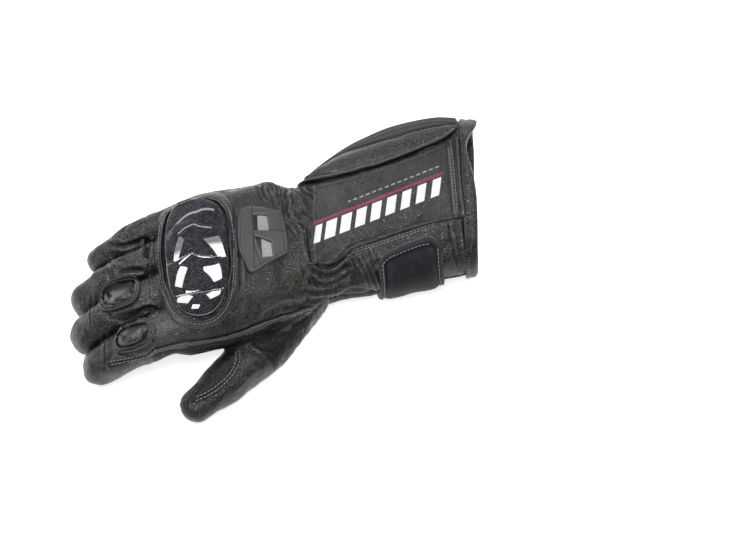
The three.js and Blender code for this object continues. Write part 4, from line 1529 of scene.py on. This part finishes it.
# %% Stitches
THREAD = dict(radius=0.32, long=1.9, pitch=2.6)
covered = tree_of(*surfaces.values(), *[overlays[name] for name in overlays if "mesh" not in name])
STITCH_LINES = {
    "index_stitches": [
        LINES["index_double"][-1],
        [(113, 364), (133, 360), (151, 355.2), (159, 347)],
    ],
    "panel_stitches": [
        [(352, 250.2), (376.5, 243.2), (410.5, 231.6), (437, 223)],
        [(356, 251.6), (378, 245.2), (412, 233.6), (437, 225.4)],
    ],
    "pad_stitches": [
        [(239.2, 349), (240.6, 356), (238.6, 365), (233.5, 374.5), (222, 386), (209.5, 394.4), (196.4, 400)],
        [(236, 350.5), (237, 356), (235.4, 364), (230.6, 373), (219.5, 383.6), (208, 391.4), (197, 396.6)],
    ],
    "hem_stitches": [
        [(448.5, 147), (451, 170), (452.6, 190), (454.5, 210), (456, 217)],
        [(451.6, 146), (454, 170), (455.6, 190), (457.4, 210), (459, 216)],
    ],
    "heel_stitches": [
        [(246, 333.6), (259, 328.4), (270, 323.6), (286, 318.4), (302, 314), (314, 311)],
        [(281, 321), (294, 315.6), (307.8, 310), (319, 306.5)],
    ],
}
STITCH_RINGS = {
    "frame_stitches": (FRAME_INNER, FRAME_OUTER, 0.47),
    "index_welt_stitches": (SLIDER_OUTLINES["index_slider"], WELT_OUTLINES["index_welt"], 0.54),
    "middle_welt_stitches": (SLIDER_OUTLINES["middle_slider"], WELT_OUTLINES["middle_welt"], 0.54),
}


def stitches(path, normals, radius, long, pitch):
    """Bowed threads, one after the other along a path."""
    length = np.concatenate([[0], np.cumsum(np.linalg.norm(np.diff(path, axis=0), axis=1))])
    bow = np.linspace(-1, 1, 5)
    threads = []
    for middle in np.arange(pitch / 2, length[-1] - pitch / 2, pitch):
        places = middle + bow * long / 2
        line = np.stack([np.interp(places, length, path[:, k]) for k in range(3)], -1)
        up = np.stack([np.interp(places, length, normals[:, k]) for k in range(3)], -1)
        up = unit(up)
        rise = radius * (1.1 * np.sqrt(1 - 0.95 * bow**2) - 0.35)
        threads.append(tube(line + up * rise[:, None], radius * np.sqrt(1 - 0.6 * bow**2), 6, up))
    points, faces = join_forms(threads)
    points[:, 2] = np.maximum(points[:, 2], 0)
    return points, faces


sewn = {}
for name, lines in STITCH_LINES.items():
    sewn[name] = join_forms([stitches(*along_surface(line, covered, 0.5), **THREAD) for line in lines])
for name, (inner, outer, share) in STITCH_RINGS.items():
    grid = ring_grid(inner, outer, WELT_STEP, 19)
    ring = grid[:, 0] + (grid[:, -1] - grid[:, 0]) * share
    places, normals = drop(ring, covered)
    places, normals = (neighbours_mean(a[:, None], 2, True)[:, 0] for a in (places, normals))
    sewn[name] = stitches(places, normals, **THREAD)
print("stitch faces:", {name: len(faces) for name, (_, faces) in sewn.items()})


# %% Stitches on the cuff
def laid_stitches(laid, tree):
    """Stitches along a line of stations and angles."""
    line = curve_through(laid, 0.6)
    outside, inside_line = wrapped(line, 6), wrapped(line, 1)
    places, normals = [], []
    for start, goal in zip(outside, inside_line):
        hit, normal, _, _ = tree.ray_cast(Vector(start.tolist()), Vector((goal - start).tolist()))
        if hit is not None:
            places.append(hit[:])
            normals.append(np.array(normal) * np.sign(np.array(normal) @ (start - goal)))
    return stitches(np.array(places), np.array(normals), **THREAD)


SEAM_INSET, BORDER_INSET = 1.3, 3
border = flap_laid[BORDER_INSET:-BORDER_INSET, BORDER_INSET:-BORDER_INSET]
sewn["cloth_stitches"] = laid_stitches(seam_laid + (0, SEAM_INSET), covered)
border_lines = [border[::6, 0], border[0, ::5], border[-1, ::5]]
sewn["flap_stitches"] = join_forms([laid_stitches(line, covered) for line in border_lines])
print({name: len(sewn[name][1]) for name in ("cloth_stitches", "flap_stitches")})

# %% [markdown]
# The crests of the leather are painted lighter and made smoother, partly as rubbed wear and partly as a
# painted highlight, while seams and hollows are painted darker as painted shade. To let a material know where
# that is, each mesh carries a number for each point: how far the point stands above its neighbours.
# The top panel also carries its own flat coordinates in millimetres, for the print.

# %% Crests and print coordinates
CREST_ROUNDS = 6
PRINT_START, PRINT_END = np.array([312.0, 224.0]), np.array([450.0, 170.0])


def crest_of(mesh):
    """How far each point stands above its neighbourhood, in millimetres."""
    points, normals = table_of(mesh.vertices, "co", 3) / MM, table_of(mesh.vertices, "normal", 3)
    edges = table_of(mesh.edges, "vertices", 2, np.int32)
    return ((points - smoothed(points.astype(float), edges, CREST_ROUNDS)) * normals).sum(1)


def mark_crests(piece, hollows=()):
    """Keep the crest of each point. Points of a hollow on the picture count as a deep one, for painted shade.
    """
    crest = crest_of(piece.data)
    for outline in hollows:
        pixels = to_pixels(read_mesh(piece.data)[0])[:, None]
        crest[inside(pixels, outline)[:, 0] > 0.25] = -1
    marks = piece.data.attributes.new("crest", "FLOAT", "POINT").data
    marks.foreach_set("value", crest.astype(np.float32))
    return crest


def mark_print(piece):
    """Millimetres along the red stripe and across it."""
    points, _ = read_mesh(piece.data)
    way = (PRINT_END - PRINT_START) / np.linalg.norm(PRINT_END - PRINT_START)
    gap = (to_pixels(points) - PRINT_START) * MM_PER_PIXEL
    laid = np.stack([gap @ way, gap @ np.array([-way[1], way[0]]), np.zeros(len(gap))], -1)
    marks = piece.data.attributes.new("laid", "FLOAT_VECTOR", "POINT").data
    marks.foreach_set("vector", laid.astype(np.float32).ravel())


objects = {name: (piece, name) for name, piece in pieces.items()}
for name, (points, faces) in overlays.items():
    objects[name] = (closed_object(name + "_piece", points, faces), name)
loose = {name: closed_object(name, points, faces) for name, (points, faces) in {**extras, **sewn}.items()}
# vent windows and slider holes count as deep hollows, which the materials paint dark as painted shade
HOLLOWS = {"vent_plate": WINDOWS.values(), **{name: [hole] for name, hole in SLIDER_HOLES.items()}}
crests = {name: mark_crests(piece, HOLLOWS.get(name, ())) for name, (piece, _) in objects.items()}
for piece in loose.values():
    mark_crests(piece)
mark_print(objects["cuff_top_panel"][0])
print("highest crests, mm:", {name: round(float(c.max()), 2) for name, c in crests.items()})

# %% [markdown]
# Materials are networks of nodes. Effects that several materials share are built once as node groups. The
# first few functions make nodes with less writing: one adds a node, one does arithmetic, one maps a range
# of values to another, and one mixes two colours.

# %% Helpers for nodes
def put(socket, value):
    """Link a socket, or set it where the value is plain."""
    if isinstance(value, bpy.types.NodeSocket):
        socket.id_data.links.new(value, socket)
    else:
        socket.default_value = value


def add(kind, values, tree=None, **settings):
    """A node, in the tree of the sockets that feed it."""
    if tree is None:
        tree = next(v for v in values.values() if isinstance(v, bpy.types.NodeSocket)).id_data
    made = tree.nodes.new("ShaderNode" + kind)
    for name, value in settings.items():
        setattr(made, name, value)
    for name, value in values.items():
        put(made.inputs[name], value)
    return made


def maths(operation, a, b=0.0):
    return add("Math", {0: a, 1: b}, operation=operation).outputs[0]


def times(a, b):
    return maths("MULTIPLY", a, b)


def plus(a, b):
    return maths("ADD", a, b)


def minus(a, b):
    return maths("SUBTRACT", a, b)


def ranged(value, low, high, to_low=0.0, to_high=1.0):
    values = {"Value": value, "From Min": low, "From Max": high, "To Min": to_low, "To Max": to_high}
    return add("MapRange", values).outputs["Result"]


def mixed(share, a, b):
    """Colour a where the share is zero, and b where it is one."""
    return add("Mix", {0: share, 6: a, 7: b}, data_type="RGBA").outputs[2]


def noise(place, scale, detail=3.0, rough=0.55):
    values = {"Vector": place, "Scale": scale, "Detail": detail, "Roughness": rough}
    return add("TexNoise", values).outputs["Fac"]


def new_group(name, numbers, outputs, places=("Place",)):
    """A group fed with places and numbers: the group, its incoming sockets and a function for results."""
    group = bpy.data.node_groups.new(name, "ShaderNodeTree")
    kinds = [(socket, "Vector") for socket in places] + [(socket, "Float") for socket in numbers]
    for socket, kind in kinds:
        group.interface.new_socket(name=socket, in_out="INPUT", socket_type="NodeSocket" + kind)
    for socket in outputs:
        group.interface.new_socket(name=socket, in_out="OUTPUT", socket_type="NodeSocketFloat")
    incoming = group.nodes.new("NodeGroupInput").outputs
    outgoing = group.nodes.new("NodeGroupOutput").inputs

    def give(**results):
        for socket, value in results.items():
            put(outgoing[socket], value)

    return group, incoming, give


def place_group(group, **values):
    """The results of a group that is fed with values."""
    return add("Group", values, node_tree=group).outputs


print("helpers for nodes are ready")

# %% [markdown]
# Leather grain has three scales: pebbles of half a millimetre to a millimetre with creases between them, fine
# wrinkles that run through them, and slow patches where the dye took differently. A slow swell goes into the
# bumps alone, and gives the leather its broken highlights.

# %% Leather grain
leather_grain, grain_in, give = new_group(
    "leather_grain", ["Pebbles", "Wrinkles"], ["Height", "Patch", "Swell"]
)
pebbles = {"Vector": grain_in["Place"], "Scale": grain_in["Pebbles"]}
cells = add("TexVoronoi", pebbles, feature="DISTANCE_TO_EDGE")
pebble = ranged(cells.outputs["Distance"], 0.0, 0.28)
wrinkles = noise(grain_in["Place"], grain_in["Wrinkles"], 4.0, 0.6)
folded = maths("ABSOLUTE", minus(wrinkles, 0.5))
crease = ranged(folded, 0.05, 0.0)
fine = noise(grain_in["Place"], 2600.0, 2.0)
height = plus(times(pebble, 0.7), times(fine, 0.08))
height = minus(height, times(crease, 0.6))
PATCHES_PER_METRE = 32.0
SWELLS_PER_METRE, SWELL_HEIGHT = 60.0, 9.0
swell = times(noise(grain_in["Place"], SWELLS_PER_METRE, 2.0), SWELL_HEIGHT)
patch = ranged(noise(grain_in["Place"], PATCHES_PER_METRE), 0.35, 0.65)
give(Height=height, Patch=patch, Swell=plus(height, swell))
print("leather_grain:", len(leather_grain.nodes), "nodes")

# %% [markdown]
# The crests that were marked on the meshes, broken up by noise, give two masks: crests rubbed lighter, partly
# as wear and partly as a painted highlight, and hollows painted darker as painted shade. Dust and lint are
# specks, sparse and pale, and they settle in patches.

# %% Rubbed crests, painted highlight and painted shade, and dust
wear_highlight_and_shade, wear_in, give = new_group("wear_highlight_and_shade", ["Crest"], ["Rubbed", "Settled"])
uneven = times(minus(noise(wear_in["Place"], 260.0), 0.5), 0.35)
stands_out = plus(wear_in["Crest"], uneven)
# crests: partly wear, partly painted highlight; hollows: painted shade
give(Rubbed=ranged(stands_out, 0.03, 0.32), Settled=ranged(stands_out, -0.03, -0.3))

lint_dust, dust_in, give = new_group("lint_dust", ["Specks"], ["Dust"])
specks = ranged(noise(dust_in["Place"], dust_in["Specks"], 1.0), 0.66, 0.74)
where = ranged(noise(dust_in["Place"], 45.0), 0.45, 0.7)
give(Dust=times(specks, where))
print("wear_highlight_and_shade and lint_dust ready")

# %% [markdown]
# The fibre under the guard's lacquer is woven of flat tows a little over a millimetre wide, each going over
# one and under the next, so light and dark checks alternate. Cloth is the same idea with much finer
# threads, and brushed suede has a nap instead, of short hairs lying in all directions.

# %% Weaves and nap
fibre_weave, fibre_in, give = new_group("fibre_weave", ["Tows"], ["Height", "Check", "Fibre"])
WEAVE_TURN = math.radians(34)
turned = add("Mapping", {"Vector": fibre_in["Place"], "Rotation": (0, 0, WEAVE_TURN)}).outputs[0]
apart = add("SeparateXYZ", {"Vector": turned})
across = times(apart.outputs["X"], fibre_in["Tows"])
down = times(apart.outputs["Y"], fibre_in["Tows"])
step_count = plus(maths("FLOOR", across), maths("FLOOR", down))
check = maths("LESS_THAN", maths("FLOORED_MODULO", step_count, 2.0), 0.5)
round_across = maths("SINE", times(maths("FRACT", across), math.pi))
round_down = maths("SINE", times(maths("FRACT", down), math.pi))
chosen = add("Mix", {0: check, 2: round_across, 3: round_down}).outputs[0]
give(Height=chosen, Check=check, Fibre=noise(turned, 2400.0, 2.0, 0.7))

cloth_weave, cloth_in, give = new_group("cloth_weave", ["Threads"], ["Height", "Tone"])
apart = add("SeparateXYZ", {"Vector": cloth_in["Place"]})
lengthwise = maths("SINE", times(apart.outputs["X"], cloth_in["Threads"]))
slope = plus(apart.outputs["Y"], apart.outputs["Z"])
crosswise = maths("SINE", times(slope, cloth_in["Threads"]))
give(Height=times(lengthwise, crosswise), Tone=ranged(noise(cloth_in["Place"], 420.0), 0.3, 0.7))

suede_nap, nap_in, give = new_group("suede_nap", ["Hairs"], ["Height", "Tone"])
hairs = {"Vector": nap_in["Place"], "Scale": nap_in["Hairs"], "Distortion": 1.4, "Detail": 4.0}
swirled = add("TexNoise", hairs)
give(Height=swirled.outputs["Fac"], Tone=ranged(noise(nap_in["Place"], 120.0), 0.35, 0.65))
print("weaves ready")

# %% [markdown]
# The top panel is printed: a thin red stripe, a row of plain white slanted bars under it and a dashed grey
# line above it. The print is worn through in specks. It is worked out from the panel's own coordinates.

# %% Print on the top panel
STRIPE = dict(half=0.95, start=0.5, end=92.0)
BARS = dict(top=2.0, bottom=12.6, start=3.0, end=94.0, pitch=10.6, lean=0.55, wide=0.74, narrow=0.55)
DASHES = dict(top=-5.4, bottom=-4.5, start=27.0, end=92.0, pitch=4.4, duty=0.6)
PRINT_EDGE = 0.12
panel_print, print_in, give = new_group("panel_print", [], ["Red", "White", "Grey"])
apart = add("SeparateXYZ", {"Vector": print_in["Place"]})
along_stripe, across_stripe = apart.outputs["X"], apart.outputs["Y"]


def between(value, low, high):
    """One between two values, with a narrow soft edge."""
    rises = ranged(value, low, low + PRINT_EDGE)
    falls = ranged(value, high, high - PRINT_EDGE)
    return times(rises, falls)


kept = ranged(noise(print_in["Place"], 0.9, 5.0, 0.7), 0.27, 0.37)
red = times(between(across_stripe, -STRIPE["half"], STRIPE["half"]), kept)
red = times(red, between(along_stripe, STRIPE["start"], STRIPE["end"]))
leaning = plus(along_stripe, times(across_stripe, BARS["lean"]))
phase = maths("FRACT", maths("DIVIDE", leaning, BARS["pitch"]))
duty = ranged(leaning, BARS["start"], BARS["end"], BARS["wide"], BARS["narrow"])
white = maths("LESS_THAN", phase, duty)
white = times(white, between(across_stripe, BARS["top"], BARS["bottom"]))
white = times(white, between(leaning, BARS["start"], BARS["end"]))
phase = maths("FRACT", maths("DIVIDE", along_stripe, DASHES["pitch"]))
grey = maths("LESS_THAN", phase, DASHES["duty"])
grey = times(grey, between(across_stripe, DASHES["top"], DASHES["bottom"]))
grey = times(grey, between(along_stripe, DASHES["start"], DASHES["end"]))
give(Red=red, White=times(white, kept), Grey=times(grey, kept))
print("panel_print:", len(panel_print.nodes), "nodes")

# %% [markdown]
# Leather is nearly black with a dull sheen: it goes from a dark to a slightly lighter tone by patch, is
# painted lighter and made smoother on its crests, partly as rubbed wear and partly as a painted highlight,
# and painted darker in its seams and hollows as painted shade. Three places have a tone of their own: the
# knuckle beside the index slider, lighter partly from wear and partly as a painted highlight; the wrist,
# where the dye has turned brownish; and the panel's end by the wrist, lighter as a painted highlight over its
# dent.

# %% Helpers for finishes
LEATHER_BUMP = 0.00022
WEAR_AND_HIGHLIGHT_PLACES = {
    # where on the picture, how far it reaches, colour
    # lighter: partly wear, partly a painted highlight
    "knuckle": ((172, 327), 0.034, (0.085, 0.078, 0.068, 1)),
    "wrist": ((285, 280), 0.036, (0.02, 0.017, 0.009, 1)),
    # lighter: a painted highlight over the panel's dent
    "panel": ((328, 198), 0.014, (0.05, 0.05, 0.052, 1)),
}
finishes = {}


def new_material(name, **uniform):
    """The shader of a new finish, and the object's own coordinates."""
    material = finishes[name] = bpy.data.materials.new(name)
    material.use_nodes = True
    shader = material.node_tree.nodes["Principled BSDF"]
    for socket, value in uniform.items():
        shader.inputs[socket.replace("_", " ")].default_value = value
    return shader, add("TexCoord", {}, material.node_tree).outputs["Object"]


def marked(shader, name, output):
    """A value that the mesh carries, for use beside a shader."""
    return add("Attribute", {}, shader.id_data, attribute_name=name).outputs[output]


def finish(shader, colour, roughness, height, strength, reach):
    """Colour, roughness and small bumps of a material."""
    put(shader.inputs["Base Color"], colour)
    put(shader.inputs["Roughness"], roughness)
    bumps = {"Height": height, "Strength": strength, "Distance": reach}
    put(shader.inputs["Normal"], add("Bump", bumps).outputs["Normal"])


# A spot of its own tone round a place; the places hold worn dye and painted highlights.
wear_and_highlight_spot, place_in, give = new_group("wear_and_highlight_spot", ["Reach"], ["Worn"], places=["Place", "Middle"])
gap = add("VectorMath", {0: place_in["Place"], 1: place_in["Middle"]}, operation="DISTANCE").outputs["Value"]
nearness = ranged(minus(1.0, maths("DIVIDE", gap, place_in["Reach"])), 0.0, 1.0)
give(Worn=times(nearness, noise(place_in["Place"], 90.0)))


def plain(value):
    """A grey of that brightness."""
    return (value, value, value, 1)


print("worn places:", list(WEAR_AND_HIGHLIGHT_PLACES))

# %% [markdown]
# Five leathers share one recipe and differ in tone, gloss and size of grain. The panel's is printed as well.

# %% Leathers
def leather(name, dark, light, rubbed_and_highlight_tone, sheen, pebbles, grain, roughness, marks=None):
    """A leather finish, from its tones and its grain. Marks is a function that prints on it."""
    shader, place = new_material(name, Specular_IOR_Level=sheen)
    crest = marked(shader, "crest", "Fac")
    grain_out = place_group(leather_grain, Place=place, Pebbles=pebbles, Wrinkles=130.0)
    wear_and_painted_light = place_group(wear_highlight_and_shade, Place=place, Crest=crest)
    dust = place_group(lint_dust, Place=place, Specks=900.0)["Dust"]
    on_top = ranged(grain_out["Height"], 0.2, 0.85)
    colour = mixed(on_top, plain(dark), (light, light, 1.06 * light, 1))
    faded = times(grain_out["Patch"], 0.2)
    colour = mixed(faded, colour, (1.2 * light, 1.2 * light, 1.25 * light, 1))
    # spots of their own tone: worn dye at the wrist, painted highlight at the knuckle (partly wear) and on
    # the panel
    for spot, reach, wear_and_highlight_colour in WEAR_AND_HIGHLIGHT_PLACES.values():
        where = tuple((drop([spot], bare)[0][0] + SHIFT) * MM)
        wear_and_highlight = place_group(wear_and_highlight_spot, Place=place, Middle=where, Reach=reach)["Worn"]
        colour = mixed(wear_and_highlight, colour, wear_and_highlight_colour)
    # crests painted lighter, partly as rubbed wear and partly as a painted highlight; hollows painted darker
    # as painted shade
    on_crests = times(wear_and_painted_light["Rubbed"], plus(0.4, times(on_top, 0.6)))
    colour = mixed(on_crests, colour, plain(rubbed_and_highlight_tone))
    colour = mixed(times(wear_and_painted_light["Settled"], 0.8), colour, plain(0.002))
    if marks:
        colour = marks(shader, colour)
    colour = mixed(times(dust, 0.3), colour, (0.3, 0.3, 0.29, 1))
    value = ranged(grain_out["Height"], 0.1, 0.8, roughness[1], roughness[0])
    value = plus(value, times(grain_out["Patch"], 0.06))
    value = plus(value, times(wear_and_painted_light["Settled"], 0.25))
    value = minus(value, times(wear_and_painted_light["Rubbed"], 0.1))
    finish(shader, colour, value, grain_out["Swell"], grain, LEATHER_BUMP)


INKS = {"Red": (0.17, 0.008, 0.032, 1), "White": (0.66, 0.66, 0.69, 1), "Grey": (0.28, 0.28, 0.29, 1)}


def printed(shader, colour):
    """The panel's print, ink over the leather's colour."""
    laid = marked(shader, "laid", "Vector")
    marks = place_group(panel_print, Place=laid)
    for mask, ink in INKS.items():
        colour = mixed(marks[mask], colour, ink)
    return colour


LEATHERS = {
    # dark and light of the grain, crest tone (wear and painted highlight), gloss, pebbles per metre, depth of
    # grain, roughness
    "back_leather": (0.0008, 0.0095, 0.035, 0.5, 600.0, 1.0, (0.17, 0.42)),
    "palm_leather": (0.001, 0.006, 0.02, 0.25, 520.0, 1.0, (0.3, 0.55)),
    "welt_leather": (0.002, 0.012, 0.06, 0.55, 760.0, 0.8, (0.2, 0.42)),
    "panel_leather": (0.001, 0.016, 0.05, 0.5, 600.0, 1.0, (0.22, 0.46)),
    "pad_leather": (0.001, 0.007, 0.03, 0.3, 820.0, 0.9, (0.24, 0.46)),
}
for name, values in LEATHERS.items():
    leather(name, *values, marks=printed if name == "panel_leather" else None)
print("leathers:", list(finishes))

# %% [markdown]
# The flap is brushed, so it has a nap and a soft sheen and hardly any gloss; its crests are painted lighter,
# partly as wear and partly as a painted highlight, and its hollows darker as painted shade. The cloth is a
# grey stretch weave. The plate is matt plastic with a fine moulded grain, painted paler on its edges, partly
# as wear and partly as a painted highlight, and darker in its hollows as painted shade. The mesh is bright
# wire.

# %% Cloth, suede, plastic and wire
shader, place = new_material("flap_suede", Sheen_Weight=0.25, Sheen_Roughness=0.4, Specular_IOR_Level=0.15)
crest = marked(shader, "crest", "Fac")
nap = place_group(suede_nap, Place=place, Hairs=1500.0)
wear_and_painted_light = place_group(wear_highlight_and_shade, Place=place, Crest=crest)
colour = mixed(nap["Tone"], (0.007, 0.006, 0.008, 1), (0.017, 0.0145, 0.019, 1))
# crests painted lighter, partly wear and partly painted highlight; hollows painted darker as painted shade
colour = mixed(times(wear_and_painted_light["Rubbed"], 0.6), colour, (0.045, 0.038, 0.05, 1))
colour = mixed(wear_and_painted_light["Settled"], colour, (0.003, 0.0025, 0.004, 1))
finish(shader, colour, ranged(nap["Tone"], 0.0, 1.0, 0.75, 0.9), nap["Height"], 0.7, 0.0005)

shader, place = new_material("grey_cloth", Sheen_Weight=0.15, Sheen_Roughness=0.5, Specular_IOR_Level=0.2)
weave = place_group(cloth_weave, Place=place, Threads=7000.0)
dust = place_group(lint_dust, Place=place, Specks=700.0)["Dust"]
colour = mixed(weave["Tone"], (0.011, 0.0115, 0.012, 1), (0.022, 0.023, 0.024, 1))
colour = mixed(ranged(weave["Height"], -1.0, 1.0, 0.0, 0.5), colour, (0.02, 0.02, 0.022, 1))
colour = mixed(times(dust, 0.3), colour, plain(0.35))
finish(shader, colour, ranged(weave["Tone"], 0.0, 1.0, 0.8, 0.95), weave["Height"], 0.6, 0.0004)


def moulding(name, dark, light, roughness):
    """Moulded plastic, paler on its edges, partly from wear and partly as a painted highlight, and dark in
    its hollows as painted shade.
    """
    shader, place = new_material(name, Specular_IOR_Level=0.4)
    crest = marked(shader, "crest", "Fac")
    wear_and_painted_light = place_group(wear_highlight_and_shade, Place=place, Crest=crest)
    grainy = noise(place, 3200.0, 2.0, 0.6)
    colour = mixed(noise(place, 60.0), plain(dark), plain(light))
    # edges painted paler, partly wear and partly painted highlight; hollows painted dark as painted shade
    colour = mixed(times(wear_and_painted_light["Rubbed"], 0.5), colour, plain(0.15))
    colour = mixed(times(wear_and_painted_light["Settled"], 0.9), colour, plain(0.004))
    finish(shader, colour, ranged(grainy, 0.3, 0.7, roughness, roughness + 0.14), grainy, 0.35, 0.0002)


moulding("moulded_plate", 0.03, 0.045, 0.42)
moulding("slider", 0.02, 0.035, 0.22)

shader, place = new_material("silver_mesh", Metallic=1.0)
tarnish = noise(place, 900.0)
colour = mixed(tarnish, (0.5, 0.51, 0.53, 1), (0.85, 0.86, 0.88, 1))
finish(shader, colour, ranged(tarnish, 0.3, 0.7, 0.3, 0.5), noise(place, 2500.0), 0.2, 0.0001)

shader, place = new_material("thread", Sheen_Weight=0.1, Specular_IOR_Level=0.3)
twist = noise(place, 1800.0, 2.0)
colour = mixed(twist, (0.1, 0.1, 0.102, 1), plain(0.32))
finish(shader, colour, ranged(twist, 0.3, 0.7, 0.45, 0.65), twist, 0.5, 0.0002)
print("finishes:", list(finishes))

# %% [markdown]
# The guard is clear lacquer over the woven fibre. The weave is the base of the shader and the lacquer its
# coat: smooth, and the windows of light show in it. On the two upper lobes the coat is scuffed thin, so
# that they reflect much less.

# %% Guard material
shader, place = new_material("guard_shell", Coat_Roughness=0.02, Coat_IOR=2.0, Specular_IOR_Level=0.15)
fibre = place_group(fibre_weave, Place=place, Tows=780.0)
sparkle = times(fibre["Check"], ranged(noise(place, 420.0), 0.42, 0.6))
colour = mixed(sparkle, (0.0015, 0.001, 0.0025, 1), (0.06, 0.055, 0.082, 1))
colour = mixed(ranged(fibre["Fibre"], 0.35, 0.65, 0.0, 0.7), colour, (0.016, 0.014, 0.022, 1))
side = add("SeparateXYZ", {"Vector": place}).outputs["Y"]
SCUFFED_COAT, SCUFF_BLEND, SCUFF_WAVER = 0.22, 0.003, 0.002
third_arc = float(drop([(195, 254)], bare)[0][0][1] + SHIFT[1]) * MM
scuffs = plus(side, times(noise(place, 160.0), SCUFF_WAVER))
put(shader.inputs["Coat Weight"], ranged(scuffs, third_arc, third_arc + SCUFF_BLEND, 1.0, SCUFFED_COAT))
finish(shader, colour, ranged(fibre["Fibre"], 0.3, 0.7, 0.3, 0.5), fibre["Height"], 0.5, 0.0004)
print("guard:", len(shader.id_data.nodes), "nodes")

# %% [markdown]
# Last, each piece takes the place of its node in the frame and gets its finish.

# %% Finish the pieces
SLOTS = {
    "back_leather": ["hand_back", "wrist_gather", "cuff_back", "cuff_hem", "thumb", "side_bolster", *STALLS],
    "palm_leather": ["hand_palm", "cuff_palm"],
    "welt_leather": ["knuckle_frame", "index_welt", "middle_welt", "side_piping"],
    "panel_leather": ["cuff_top_panel"],
    "pad_leather": ["thumb_pad"],
    "flap_suede": ["closure_flap"],
    "guard_shell": ["knuckle_guard"],
    "moulded_plate": ["vent_plate", "index_slider", "middle_slider"],
    "silver_mesh": list(MESH_OUTLINES),
    "grey_cloth": ["side_fabric"],
}


def dress(piece, slot, material):
    """Give a piece its finish and its place on the root. The slot is not used."""
    piece.data.materials.clear()
    piece.data.materials.append(material)
    piece.data.polygons.foreach_set("use_smooth", [True] * len(piece.data.polygons))
    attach(piece, "root")


for slot, names in SLOTS.items():
    for name in names:
        piece, node = objects[name]
        dress(piece, slot, finishes["slider" if "slider" in name else slot])
        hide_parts(node)
for name, piece in loose.items():
    if name in extras:
        dress(piece, "welt_leather", finishes["welt_leather"])
    else:
        dress(piece, "grey_cloth", finishes["thread"])

cloth_top = wrapped(cloth_laid, 0.4)
everything = [piece for piece, _ in objects.values()] + list(loose.values())
print("triangles, about:", sum(2 * len(piece.data.polygons) for piece in everything))

# %% [markdown]
# The model should be as big as it was packed, so both boxes are written down before the scene is closed.

# %% Size and finish
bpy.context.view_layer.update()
print("packed and dressed:", [[round(v, 3) for v in c] for c in (*CAD_BOX, *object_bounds())])
